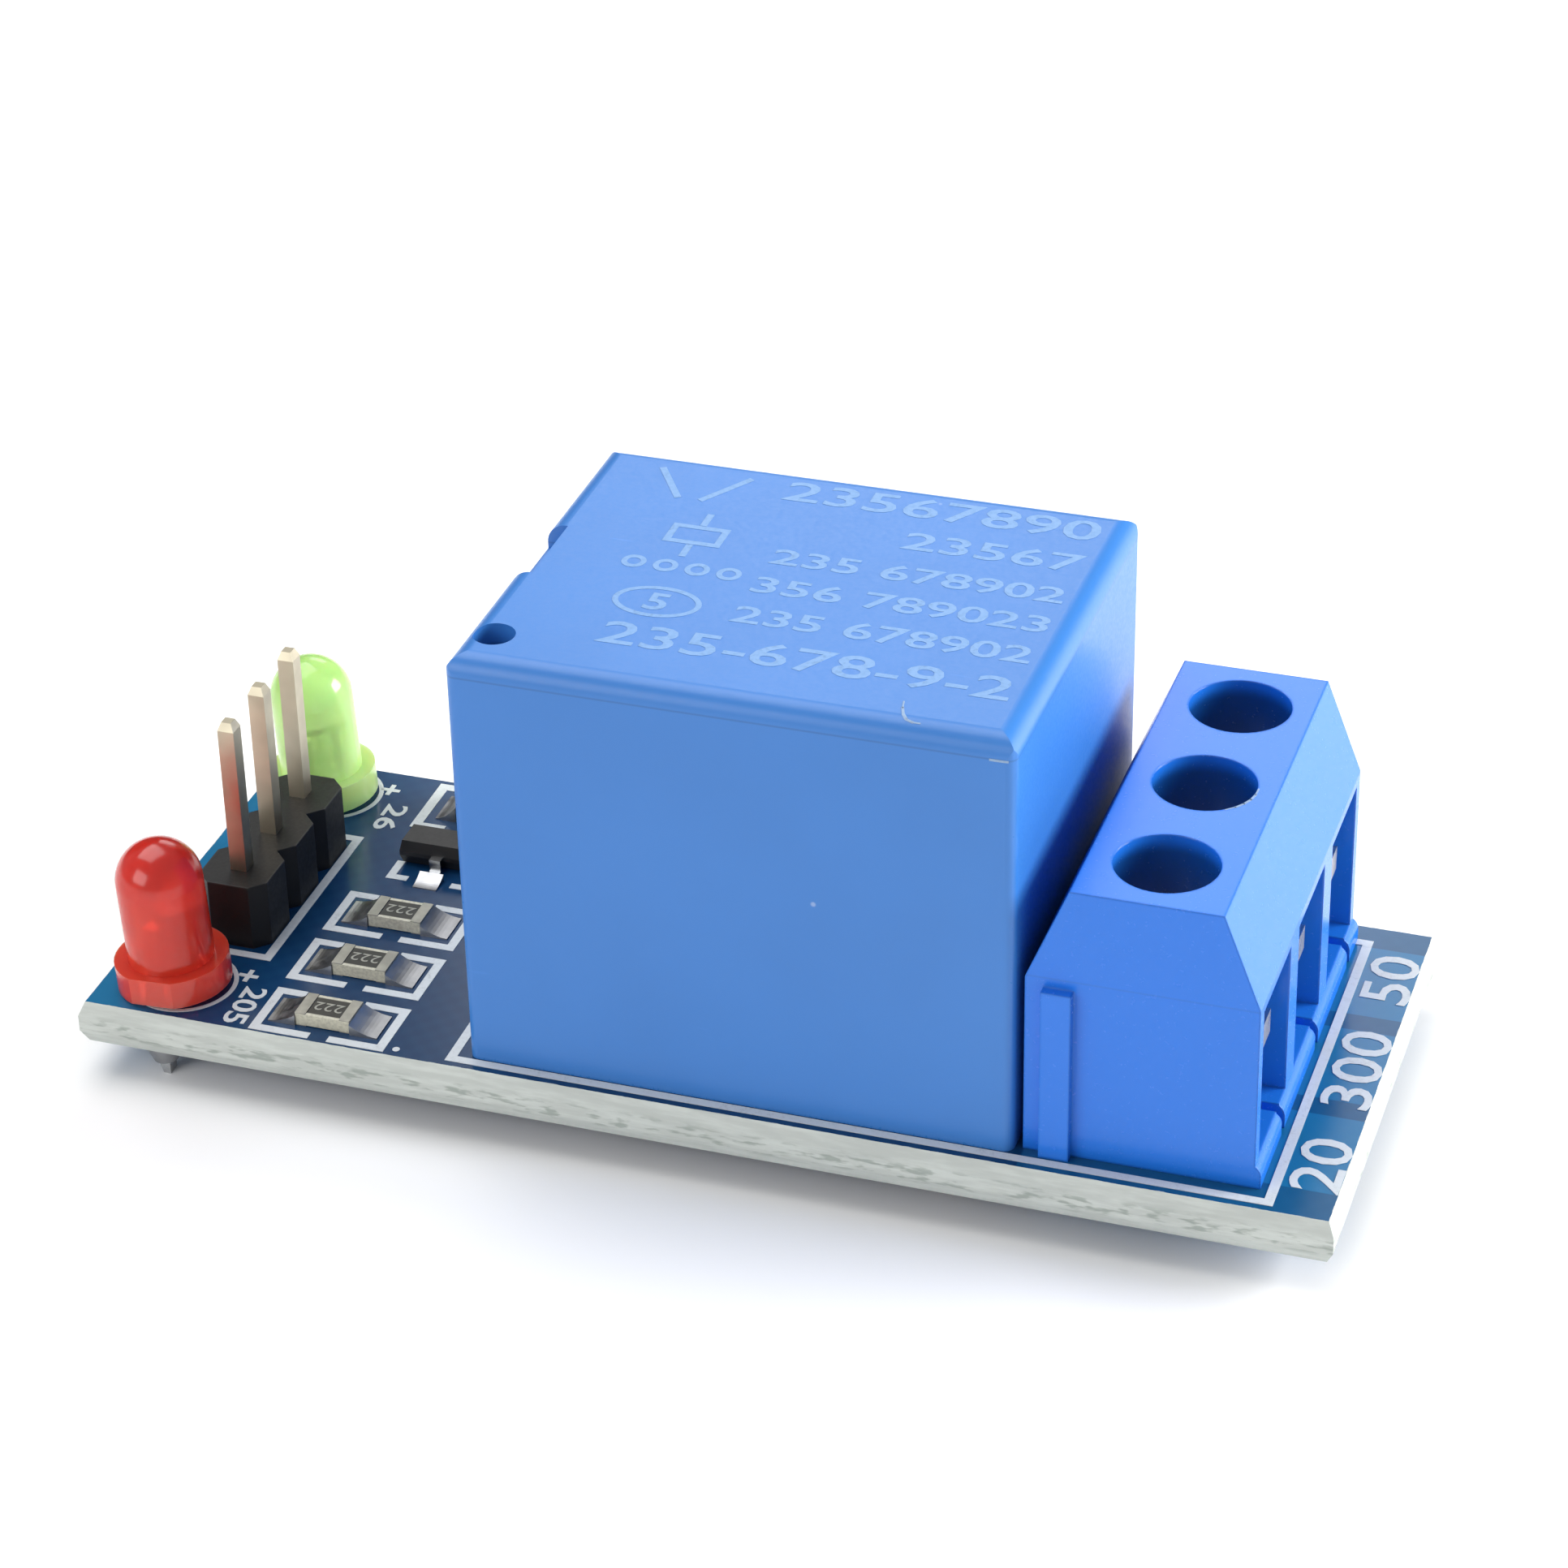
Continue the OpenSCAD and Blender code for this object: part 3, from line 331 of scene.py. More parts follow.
def moulded_plastic(name, base, nodes, rough=0.42, fine=7000.0, bump=0.05, edge_wear_and_highlight=0.3,
                    light=1.3, dark=0.96, specks=0.5, scratches=0.25, edge_mm=0.14, shine=0.5,
                    uneven=0.12, soft_mm=0.0):
    """Moulded plastic: fine grain, slow mottling, paler edges (partly worn, partly painted
    highlight), specks and hair scratches.
    """
    material, g, shader = start_material(name)
    where = g.where()
    middle, half = middle_and_half(nodes)
    grain = g.group(grain_group(), Vector=where, Fine=fine, Slow=170.0)
    marks = g.group(speck_group(), Vector=where, Specks=specks, Scratches=scratches)
    edges = g.group(edge_group(), Vector=g.place(where, move=tuple(-middle)),
                    Half_size=tuple(half), Width=edge_mm*MM)["Mask"]
    pale = [min(1.0, v*light + 0.03) for v in base]
    dust = (0.80, 0.86, 0.92)
    body = g.mix(g.range(grain["Mottle"], 0.3, 0.7), scaled(base, dark), base)
    # paler edges: partly worn plastic, partly a painted highlight standing in for rounded edges
    body = g.mix(g.product(edges, edge_wear_and_highlight), body, pale)
    body = g.mix(g.product(marks["Scratches"], 0.5), body, pale)
    g.feed(shader["Base Color"], g.mix(marks["Specks"], body, dust))
    rougher = g.range(grain["Grain"], 0.2, 0.8, rough - uneven*0.4, rough + uneven*0.6)
    g.feed(shader["Roughness"], g.math("ADD", rougher, g.product(edges, -0.06)))
    height = g.math("ADD", grain["Grain"], g.product(marks["Scratches"], -0.8))
    softened = None
    if soft_mm:
        softening = g.node("ShaderNodeBevel", samples=4)
        softening.inputs["Radius"].default_value = soft_mm*MM
        softened = softening.outputs["Normal"]
    g.feed(shader["Normal"], g.bump(height, bump, 0.01, softened))
    shader["Specular IOR Level"].default_value = shine
    return material


def bare_metal(name, base, rough=0.25, bump=0.04, stretch=(1, 1, 1)):
    """Plated or solid metal with fine drawn lines and duller patches."""
    material, g, shader = start_material(name)
    where = g.where()
    fine = 1800.0
    lines = g.noise(g.place(where, scale=stretch), fine, 3.0, 0.6)
    patches = g.group(grain_group(), Vector=where, Fine=fine, Slow=520.0)["Mottle"]
    g.feed(shader["Base Color"], g.mix(g.range(patches, 0.35, 0.75), base, scaled(base, 0.80)))
    shader["Metallic"].default_value = 1.0
    g.feed(shader["Roughness"], g.range(patches, 0.25, 0.8, rough*0.9, rough*1.3))
    g.feed(shader["Normal"], g.bump(lines, bump, 0.02))
    return material


def solder_finish():
    """Wrinkled grey solder that picks up its neighbours' colours."""
    material, g, shader = start_material("Reflowed solder")
    where = g.where()
    wrinkles = g.noise(where, 800.0, 3.0, 0.5)
    frost = g.noise(where, 2600.0, 2.0, 0.5)
    base = colours().solder[:]
    g.feed(shader["Base Color"], g.mix(g.range(wrinkles, 0.35, 0.7), base, scaled(base, 0.8)))
    shader["Metallic"].default_value = 1.0
    g.feed(shader["Roughness"], g.range(frost, 0.3, 0.7, 0.28, 0.42))
    g.feed(shader["Normal"], g.bump(wrinkles, 0.10, 0.03))
    return material


def board_finish():
    """Blue lacquer over a faint glass weave on both faces, and bare scored laminate between."""
    material, g, shader = start_material("Solder mask and laminate")
    c = colours()
    where = g.where()
    x, y, z = g.split(where)
    skin = 0.004*MM
    face = g.math("ADD", g.math("GREATER_THAN", z, PCB_HIGH.z - skin),
                  g.math("LESS_THAN", z, PCB_LOW.z + skin), clamp=True)
    # the lacquer's rim is ragged where the score's cutter met it
    middle, half = middle_and_half(["pcb"])
    away = g.math("MINIMUM", g.math("SUBTRACT", half.x - sizes().score, g.off(x, middle.x)),
                  g.math("SUBTRACT", half.y - sizes().score, g.off(y, middle.y)))
    torn = g.range(g.noise(where, 1700.0, 3.0, 0.6), 0.35, 0.75, 0.0, 0.03*MM)
    lacquer = g.product(face, g.math("GREATER_THAN", away, torn))
    yarns = 7400.0
    weave = g.product(g.math("SINE", g.product(x, yarns)), g.math("SINE", g.product(y, yarns)))
    grain = g.group(grain_group(), Vector=where, Fine=2200.0, Slow=120.0)
    blue = g.mix(g.range(grain["Mottle"], 0.3, 0.7), scaled(c.mask, 0.90), scaled(c.mask, 1.1))
    over_copper_and_sheen, over_glass = (0.010, 0.155, 0.33), (0.05, 0.22, 0.38)
    # copper under the lacquer and painted sheen both show here as a paler blue
    blue = g.mix(copper_and_painted_sheen(g, x, y), blue, over_copper_and_sheen)
    blue = g.mix(g.range(weave, -1.0, 1.0, 0.0, 0.03), blue, over_glass)
    # glass bundles lie along the board, so the darker streaks are drawn out level
    fibres = g.noise(g.place(where, scale=(0.12, 0.12, 1.0)), 4200.0, 3.0, 0.6)
    streaks = g.noise(g.place(where, scale=(0.22, 0.22, 1.0)), 5600.0, 2.0, 0.55)
    depth = g.math("SUBTRACT", PCB_HIGH.z, z)
    core = g.product(g.range(depth, 0.35*MM, 0.75*MM),
                     g.range(depth, 1.05*MM, 1.40*MM, 1.0, 0.0))
    shaded, broken = (0.38, 0.41, 0.39), (0.24, 0.28, 0.25)
    bare = g.mix(g.range(fibres, 0.35, 0.70), c.laminate[:], scaled(c.laminate, 1.18))
    bare = g.mix(g.product(g.range(depth, 0.9*MM, 1.5*MM), 0.35), bare, shaded)
    bare = g.mix(g.product(core, g.range(streaks, 0.50, 0.66, 0.0, 0.65)), bare, broken)
    g.feed(shader["Base Color"], g.mix(lacquer, bare, blue))
    shader["Specular IOR Level"].default_value = 0.33
    g.feed(shader["Roughness"], g.math("SUBTRACT", 0.85, g.product(lacquer, 0.66)))
    rough_edge = g.product(g.math("SUBTRACT", 1.0, lacquer), fibres)
    height = g.math("ADD", g.product(weave, 0.02), g.product(rough_edge, 0.8))
    g.feed(shader["Normal"], g.bump(height, 0.25, 0.05))
    return material


def copper_and_painted_sheen(g, x, y):
    """Mask of the paler lacquer: copper under a pour at each terminal, with painted sheen over the
    whole terminal end, and painted sheen along the lamps.
    """
    inside = 0.0
    for node in POLES:
        away = g.off(y, box_middle(node).y)
        inside = g.math("MAXIMUM", inside, g.range(away, 2.05*MM, 2.12*MM, 1.0, 0.0))
    # at the terminal end: copper pours round each pole, over painted sheen on all the lacquer past
    # the block's edge
    copper_and_sheen_at_block = g.product(g.range(inside, 0.0, 1.0, 0.35, 0.9),
                         g.range(x, BLOCK_LOW.x, BLOCK_LOW.x + 0.1*MM))
    # along the lamps: painted sheen only, lightening the lacquer towards the board's end beyond the
    # header
    painted_sheen_at_lamps = g.range(x, HEADER_LOW.x - 1.0*MM, HEADER_LOW.x + 1.0*MM, 0.95, 0.0)
    return g.math("MAXIMUM", copper_and_sheen_at_block, painted_sheen_at_lamps)


def darken(material, g, mask, shade):
    """Mixes a shade over the colour that the material already has, where the mask is 1."""
    colour_socket = material.node_tree.nodes["Principled BSDF"].inputs["Base Color"]
    g.feed(colour_socket, g.mix(mask, colour_socket.links[0].from_socket, shade))
    return material


def add_seam(material, level, base, strength):
    """Darkens a level parting line at this height on a moulded piece."""
    g = Graph(material.node_tree)
    seam = g.range(g.off(g.split(g.where())[2], level), 0.01*MM, 0.055*MM, strength, 0.0)
    return darken(material, g, seam, scaled(base, 0.55))


def relay_finish():
    """The relay's case: satin plastic with its parting line."""
    base = colours().relay[:]
    material = moulded_plastic("Relay case plastic", base, ["relay_case"], rough=0.33,
                               edge_wear_and_highlight=0.25, light=1.4, specks=0.6, scratches=0.35, edge_mm=0.20)
    return add_seam(material, RELAY_HIGH.z - 0.72*MM, base, 0.5)


def terminal_finish():
    """The terminal block: smoother, shinier plastic, parted where its upper half begins."""
    base = colours().terminal[:]
    material = moulded_plastic("Terminal block plastic", base, ["terminal_housing"], rough=0.26,
                               fine=5000.0, bump=0.0015, edge_wear_and_highlight=0.35, light=1.2, dark=0.98,
                               specks=0.04, scratches=0.03, edge_mm=0.12, uneven=0.03,
                               soft_mm=0.12)
    # little light gets down the driver's holes
    g = Graph(material.node_tree)
    x, y, z = g.split(g.where())
    inside = 0.0
    for node in POLES:
        middle = box_middle(node)
        across = [g.math("POWER", g.off(x, middle.x), 2.0), g.math("POWER", g.off(y, middle.y), 2.0)]
        away = g.math("SQRT", g.math("ADD", *across))
        inside = g.math("MAXIMUM", inside, g.range(away, 1.74*MM, 1.80*MM, 1.0, 0.0))
    dim = g.range(z, BLOCK_HIGH.z - 0.7*MM, BLOCK_HIGH.z - 0.05*MM, 0.92, 0.0)
    darken(material, g, g.product(inside, dim), scaled(base, 0.30))
    return add_seam(material, PCB_HIGH.z + 6.75*MM, base, 0.28)


def epoxy(name, base, deep, clear):
    """Tinted translucent epoxy of a lamp, its tint darkened towards the dome's top by painted shade.
    """
    material, g, shader = start_material(name)
    where = g.where()
    flow = g.noise(g.place(where, scale=(1.0, 1.0, 0.35)), 500.0, 2.0, 0.5)
    up = g.math("SUBTRACT", g.split(where)[2], PCB_HIGH.z)
    tint = g.mix(g.range(flow, 0.35, 0.7, 0.0, 0.35), base, deep)
    # the flange, up to about a millimetre above the board, is coloured paler than the dome
    flange = g.range(up, 1.0*MM, 1.4*MM, 0.5, 0.0)
    tint = g.mix(flange, tint, [min(1.0, v*1.12 + 0.03) for v in base])
    # painted shade: the dome is coloured darker towards its top, which leaves its lower part lighter
    dome = g.range(up, 3.2*MM, 5.4*MM)
    g.feed(shader["Base Color"], g.mix(g.product(dome, 0.7), tint, deep))
    for socket, value in (("Transmission Weight", clear), ("Subsurface Weight", 0.6),
                          ("Subsurface Radius", (1.0, 0.6, 0.4)),
                          ("Subsurface Scale", 1.6*MM), ("IOR", 1.52)):
        shader[socket].default_value = value
    g.feed(shader["Roughness"], g.range(flow, 0.3, 0.7, 0.12, 0.22))
    g.feed(shader["Normal"], g.bump(flow, 0.06, 0.03))
    return material


def resistor_finish():
    """Cream alumina whose top carries the dark glaze, inside a narrow bare rim."""
    material, g, shader = start_material("Resistor glaze and ceramic")
    c = colours()
    where = g.where()
    along, z = g.split(where)[1:]
    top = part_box(RESISTORS[0])[1].z
    grain = g.group(grain_group(), Vector=where, Fine=9000.0, Slow=1500.0)
    rim = 1.0
    for node in RESISTORS:
        low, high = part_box(node)
        half = (high.y - low.y)/2
        away = g.off(along, (low.y + high.y)/2)
        rim = g.math("MINIMUM", rim, g.range(away, half - 0.16*MM, half - 0.11*MM))
    glazed = g.product(g.range(g.math("SUBTRACT", z, top), -0.05*MM, -0.02*MM),
                       g.math("SUBTRACT", 1.0, rim))
    dark = g.mix(grain["Mottle"], c.glaze[:], scaled(c.glaze, 1.7))
    cream = g.mix(g.range(grain["Grain"], 0.35, 0.7), c.ceramic[:], scaled(c.ceramic, 0.75))
    g.feed(shader["Base Color"], g.mix(glazed, cream, dark))
    g.feed(shader["Roughness"], g.range(glazed, 0.0, 1.0, 0.6, 0.33))
    g.feed(shader["Normal"], g.bump(grain["Grain"], 0.08, 0.01))
    return material


def cap_finish():
    """Resistor ends: dull tin over cream ceramic, in duller and cleaner patches."""
    material, g, shader = start_material("Resistor ends")
    where = g.where()
    grain = g.group(grain_group(), Vector=where, Fine=3000.0, Slow=1200.0)
    dull, clean = (0.27, 0.265, 0.23), (0.37, 0.36, 0.31)
    g.feed(shader["Base Color"], g.mix(g.range(grain["Mottle"], 0.35, 0.65), dull, clean))
    shader["Metallic"].default_value = 0.45
    g.feed(shader["Roughness"], g.range(grain["Grain"], 0.3, 0.7, 0.34, 0.5))
    g.feed(shader["Normal"], g.bump(grain["Grain"], 0.08, 0.01))
    return material


def winding_finish():
    """Turns of enamelled wire, laid level round the bobbin."""
    material, g, shader = start_material("Enamelled winding")
    where = g.where()
    pitch = 0.11*MM
    turns = g.math("SINE", g.product(g.split(where)[2], 2*math.pi/pitch))
    cross = g.noise(where, 900.0, 2.0)
    base = colours().copper[:]
    # painted shade: the copper is coloured darker in the grooves between the turns
    g.feed(shader["Base Color"], g.mix(g.range(turns, -0.9, 0.4), scaled(base, 0.35), base))
    shader["Metallic"].default_value = 0.6
    g.feed(shader["Roughness"], g.range(cross, 0.3, 0.7, 0.25, 0.42))
    g.feed(shader["Normal"], g.bump(turns, 0.6, 0.05))
    return material


def ink_finish(name, base, rough=0.55):
    """Screened ink, a little broken up by the mesh and the surface below."""
    material, g, shader = start_material(name)
    where = g.where()
    fine = g.noise(where, 6200.0, 3.0, 0.7)
    slow = g.noise(where, 700.0, 2.0)
    worn = g.product(g.range(fine, 0.45, 0.75), g.range(slow, 0.4, 0.7, 0.3, 1.0))
    g.feed(shader["Base Color"], g.mix(worn, base, scaled(base, 0.76)))
    g.feed(shader["Roughness"], g.range(fine, 0.3, 0.7, rough - 0.08, rough + 0.08))
    g.feed(shader["Normal"], g.bump(fine, 0.2, 0.01))
    return material


def silk_ink():
    return (bpy.data.materials.get("Silk-screen ink")
            or ink_finish("Silk-screen ink", colours().silk[:]))


def paint(material, *nodes):
    for node in nodes:
        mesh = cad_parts[node].data
        mesh.materials.clear()
        mesh.materials.append(material)


def nodes_named(*starts):
    return [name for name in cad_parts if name.startswith(starts)]


# ---------------------------------------------------------------- modelling helpers

def clear_selection():
    if bpy.context.mode != "OBJECT":
        bpy.ops.object.mode_set(mode="OBJECT")
    bpy.ops.object.select_all(action="DESELECT")


def edit():
    bpy.ops.object.mode_set(mode="EDIT")
    bpy.ops.mesh.select_mode(type="FACE")


def slab(spot, size, turn=0.0, **more):
    """Adds a flat rectangle to the edited mesh, turned about Z, and leaves only it selected."""
    bpy.ops.mesh.select_all(action="DESELECT")
    bpy.ops.mesh.primitive_plane_add(size=1, location=spot, **more)
    bpy.ops.transform.resize(value=size, center_override=spot)
    if turn:
        bpy.ops.transform.rotate(value=turn, orient_axis="Z", center_override=spot)


def hollow(width):
    """Leaves only a line of this width round the selected flat face."""
    bpy.ops.mesh.inset(thickness=width, use_even_offset=True)
    bpy.ops.mesh.delete(type="FACE")


def outline(x0, y0, x1, y1, z, width):
    """A rectangular line, outer corner to outer corner."""
    slab(((x0 + x1)/2, (y0 + y1)/2, z), (x1 - x0, y1 - y0, 1))
    hollow(width)


def ring(spot, radius, width, vertices, wide=1.0):
    """A flat ring of this outer radius, stretched along X to make an oval."""
    bpy.ops.mesh.select_all(action="DESELECT")
    bpy.ops.mesh.primitive_circle_add(vertices=vertices, radius=radius, fill_type="NGON",
                                      location=spot)
    if wide != 1.0:
        bpy.ops.transform.resize(value=(wide, 1, 1), center_override=spot)
    hollow(width)


def start_flat(name):
    """A new mesh in edit mode, with its starting patch removed."""
    clear_selection()
    bpy.ops.mesh.primitive_plane_add(size=MM, location=(0, 0, 0))
    piece = bpy.context.object
    piece.name = piece.data.name = name
    edit()
    bpy.ops.mesh.select_all(action="SELECT")
    bpy.ops.mesh.delete(type="VERT")
    return piece


def face_outwards():
    """Turns the edited mesh's faces outwards, and leaves edit mode."""
    bpy.ops.mesh.select_all(action="SELECT")
    bpy.ops.mesh.normals_make_consistent(inside=False)
    bpy.ops.object.mode_set(mode="OBJECT")


def raise_flat(thickness):
    """Gives everything in the edited flat mesh its thickness, and leaves edit mode."""
    bpy.ops.mesh.select_all(action="SELECT")
    bpy.ops.mesh.extrude_region_move(TRANSFORM_OT_translate={"value": (0, 0, thickness)})
    face_outwards()


def take_out(piece, x0, y0, x1, y1):
    """Cuts a gap in the flat lines of the edited mesh, between two corners."""
    for axis, at in ((0, x0), (0, x1), (1, y0), (1, y1)):
        bpy.ops.mesh.select_all(action="SELECT")
        normal = [0, 0, 0]
        normal[axis] = 1
        spot = [0, 0, PCB_HIGH.z]
        spot[axis] = at
        bpy.ops.mesh.bisect(plane_co=spot, plane_no=normal)
    bpy.ops.mesh.select_all(action="DESELECT")
    bpy.ops.object.mode_set(mode="OBJECT")
    for face in piece.data.polygons:
        face.select = x0 < face.center.x < x1 and y0 < face.center.y < y1
    bpy.ops.object.mode_set(mode="EDIT")
    bpy.ops.mesh.delete(type="FACE")


def finish_piece(piece, material, body):
    """Puts the piece's place into its mesh, gives it its finish and sets it on its body."""
    clear_selection()
    piece.select_set(True)
    bpy.context.view_layer.objects.active = piece
    bpy.ops.object.transform_apply(location=True, rotation=True, scale=True)
    piece.data.materials.clear()
    piece.data.materials.append(material)
    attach(piece, body)
    piece.select_set(False)


def words(text, span, across, place, turn, thickness, heavier=0.02*MM):
    """Solid lettering stretched to its length and height, centred at place and turned."""
    capital = 0.70      # a capital's height, for a font size of 1
    clear_selection()
    bpy.ops.object.text_add(location=(0, 0, 0))
    letters = bpy.context.object
    letters.data.body = text
    letters.data.size = across/capital
    letters.data.offset = heavier
    letters.data.extrude = thickness/2
    letters.data.resolution_u = 3
    bpy.ops.object.convert(target="MESH")
    low = [min(v.co[k] for v in letters.data.vertices) for k in (0, 1)]
    high = [max(v.co[k] for v in letters.data.vertices) for k in (0, 1)]
    middle = Vector(((low[0] + high[0])/2, (low[1] + high[1])/2, 0))
    fit = Matrix.Diagonal((span/(high[0] - low[0]), across/(high[1] - low[1]), 1, 1))
    letters.matrix_world = (Matrix.Translation(Vector(place) + Vector((0, 0, thickness/2)))
                            @ Matrix.Rotation(turn, 4, "Z") @ fit @ Matrix.Translation(-middle))
    bpy.ops.object.transform_apply(location=True, rotation=True, scale=True)
    edit()
    bpy.ops.mesh.select_all(action="SELECT")
    bpy.ops.mesh.remove_doubles(threshold=0.0004*MM)
    face_outwards()
    return letters


def join(pieces, name):
    clear_selection()
    for piece in pieces:
        piece.select_set(True)
    bpy.context.view_layer.objects.active = pieces[0]
    bpy.ops.object.join()
    pieces[0].name = pieces[0].data.name = name
    return pieces[0]


# ---------------------------------------------------------------- operators

class RELAYBOARD_OT_finishes(bpy.types.Operator):
    """Give every carried-over node its finish"""
    bl_idname = "relayboard.finishes"
    bl_label = "Finishes"

    def execute(self, context):
        c = colours()
        nylon = moulded_plastic("Bobbin nylon", c.nylon[:], ["bobbin"], light=1.1)
        plug = moulded_plastic("Relay plug", scaled(c.relay, 0.6), ["relay_base"], rough=0.5)
        header = moulded_plastic("Header plastic", c.header[:], ["header_body"], rough=0.48,
                                 edge_wear_and_highlight=0.5, light=2.2, specks=0.4, edge_mm=0.08, shine=0.32,
                                 soft_mm=0.05)
        moulding = moulded_plastic("Moulding compound", c.moulding[:], ["transistor", "diode"],
                                   rough=0.38, bump=0.10, light=2.0, specks=0.3)
        paint(board_finish(), "pcb")
        paint(solder_finish(), "solder_joints", "chip_solder")
        paint(relay_finish(), "relay_case")
        paint(plug, "relay_base")
        paint(terminal_finish(), "terminal_housing")
        paint(header, "header_body")
        paint(bare_metal("Tinned leads", c.tin[:], rough=0.26),
              *nodes_named("red_cathode", "red_anode", "green_cathode", "green_anode",
                           "common_pin", "coil_pins", "transistor_leads", "diode_leads"))
        paint(bare_metal("Plated steel", (0.72, 0.74, 0.77), rough=0.30), *POLES)
        paint(bare_metal("Nickel plate", (0.78, 0.75, 0.68), rough=0.28),
              *nodes_named("clamp_cage", "current_bar"))
        paint(bare_metal("Pin plate", c.pin[:], rough=0.33, stretch=(1, 1, 0.10), bump=0.008),
              *nodes_named("header_pin"))
        paint(bare_metal("Soft iron", c.iron[:], rough=0.34), "yoke", "core", "armature")
        paint(bare_metal("Bronze strip", c.bronze[:], rough=0.26, stretch=(0.1, 1, 1)),
              "contact_spring", "return_spring", "no_strip", "nc_strip")
        paint(bare_metal("Contact silver", (0.86, 0.85, 0.80), rough=0.22),
              "moving_contact", "no_contact", "nc_contact")
        paint(nylon, "bobbin")
        paint(winding_finish(), "winding")
        paint(epoxy("Red epoxy", c.red[:], (0.66, 0.018, 0.012), 0.46), "red_lens")
        paint(epoxy("Green epoxy", c.green[:], (0.50, 0.86, 0.25), 0.40), "green_lens")
        paint(resistor_finish(), *RESISTORS)
        paint(cap_finish(), *CHIPS)
        paint(moulding, "transistor", "diode")
        return {"FINISHED"}


class RELAYBOARD_OT_outlines(bpy.types.Operator):
    """Screen the white outlines round the parts"""
    bl_idname = "relayboard.outlines"
    bl_label = "Silk outlines"

    def execute(self, context):
        s = sizes()
        z = PCB_HIGH.z
        piece = start_flat("silk_outlines")
        outline(RELAY_LOW.x - s.relay_margin - s.line, RELAY_LOW.y - s.relay_margin,
                BLOCK_HIGH.x + s.block_margin + s.line, BLOCK_HIGH.y, z, s.line)
        outline(HEADER_LOW.x - s.header_side, HEADER_LOW.y - s.header_near,
                HEADER_HIGH.x + s.header_side, HEADER_HIGH.y + s.header_far, z, s.line)
        gaps = []
        # where each resistor's outline is broken, near and far, from its header end
        land, near_gap, far_gap = 1.05*MM, (2.18*MM, 2.86*MM), (1.12*MM, 3.28*MM)
        for caps in CHIPS:
            low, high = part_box(caps)
            pad = land + s.chip_margin_x
            x0, x1 = low.x - pad, high.x + pad
            y0, y1 = low.y - s.chip_margin_y, high.y + s.chip_margin_y
            outline(x0, y0, x1, y1, z, s.line)
            gaps.append((x0 + near_gap[0], y0 - s.line, x0 + near_gap[1], (y0 + y1)/2))
            gaps.append((x0 + far_gap[0], (y0 + y1)/2, x0 + far_gap[1], y1 + s.line))
        # four corner marks at the transistor
        low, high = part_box("transistor")
        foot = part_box("transistor_leads")
        side, past_feet, arm, short = 0.18*MM, 0.42*MM, 0.62*MM, 0.20*MM
        outline(low.x - side, foot[0].y - past_feet, high.x + side, foot[1].y + past_feet,
                z, s.line*0.9)
        gaps.append((low.x + arm, foot[0].y - MM, high.x - arm, foot[1].y + MM))
        gaps.append((low.x - MM, low.y + short, high.x + MM, high.y - short))
        low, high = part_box("diode")
        along, across = 1.87*MM, 0.25*MM
        outline(low.x - along, low.y - across, high.x + along, high.y + across, z, s.line*1.15)
        for gap in gaps:
            take_out(piece, *gap)
        raise_flat(s.ink)
        finish_piece(piece, silk_ink(), "board")
        return {"FINISHED"}


class RELAYBOARD_OT_lamp_rings(bpy.types.Operator):
    """Screen a white ring round each lamp"""
    bl_idname = "relayboard.lamp_rings"
    bl_label = "Lamp rings"

    def execute(self, context):
        s = sizes()
        piece = start_flat("lamp_rings")
        for lens in LAMPS:
            low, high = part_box(lens)
            flange = (high.y - low.y)/2
            spot = (high.x - flange + s.ring_shift, (low.y + high.y)/2, PCB_HIGH.z)
            ring(spot, flange + s.ring_out, s.line*0.5, vertices=64)
        # the ink stops short of the scored edges
        edge = s.score + 0.12*MM
        take_out(piece, PCB_LOW.x, PCB_LOW.y - MM, 0.0, PCB_LOW.y + edge)
        take_out(piece, PCB_LOW.x, PCB_HIGH.y - edge, 0.0, PCB_HIGH.y + MM)
        raise_flat(s.ink)
        finish_piece(piece, silk_ink(), "board")
        return {"FINISHED"}


class RELAYBOARD_OT_board_numbers(bpy.types.Operator):
    """Screen plain numbers at the terminals and lamps, and a plus at each lamp"""
    bl_idname = "relayboard.board_numbers"
    bl_label = "Board numbers"

    def execute(self, context):
        s = sizes()
        z = PCB_HIGH.z
        made = []
        x = BLOCK_HIGH.x + 1.60*MM
        # each number, its length, and how far it stands from its pole, in mm
        for node, text, span, shift in zip(POLES, ("20", "300", "50"), (2.9, 4.5, 2.9),
                                           (-0.65, -0.15, 0.30)):
            made.append(words(text, span*MM, s.terminal_high, (x, box_middle(node).y + shift*MM, z),
                              math.radians(90), s.ink))
        # each number, its length, its place and the plus sign's, from the lamp, in mm
        plus_size, plus_out = 0.72*MM, 0.30*MM
        for lens, text, span, out, aside, plus in ((LAMPS[0], "205", 2.2, 0.92, -0.75, 0.95),
                                                   (LAMPS[1], "26", 1.75, 1.02, -1.03, 0.75)):
            x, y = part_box(lens)[1].x, box_middle(lens).y
            made.append(words("+", plus_size, plus_size, (x + plus_out, y + plus*MM, z), 0, s.ink))
            made.append(words(text, span*MM, s.lamp_high, (x + out*MM, y + aside*MM, z),
                              math.radians(-90), s.ink))
        # a small dot beside the resistor nearest the edge
        low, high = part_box(CHIPS[0])
        bpy.ops.mesh.primitive_cylinder_add(
            vertices=16, radius=0.13*MM, depth=s.ink,
            location=(high.x + 1.85*MM, low.y - 0.40*MM, z + s.ink/2))
        bpy.ops.object.mode_set(mode="EDIT")
        bpy.ops.mesh.select_all(action="SELECT")
        bpy.ops.mesh.bevel(offset=s.ink*0.3, segments=1)
        bpy.ops.object.mode_set(mode="OBJECT")
        made.append(context.object)
        finish_piece(join(made, "silk_numbers"), silk_ink(), "board")
        return {"FINISHED"}


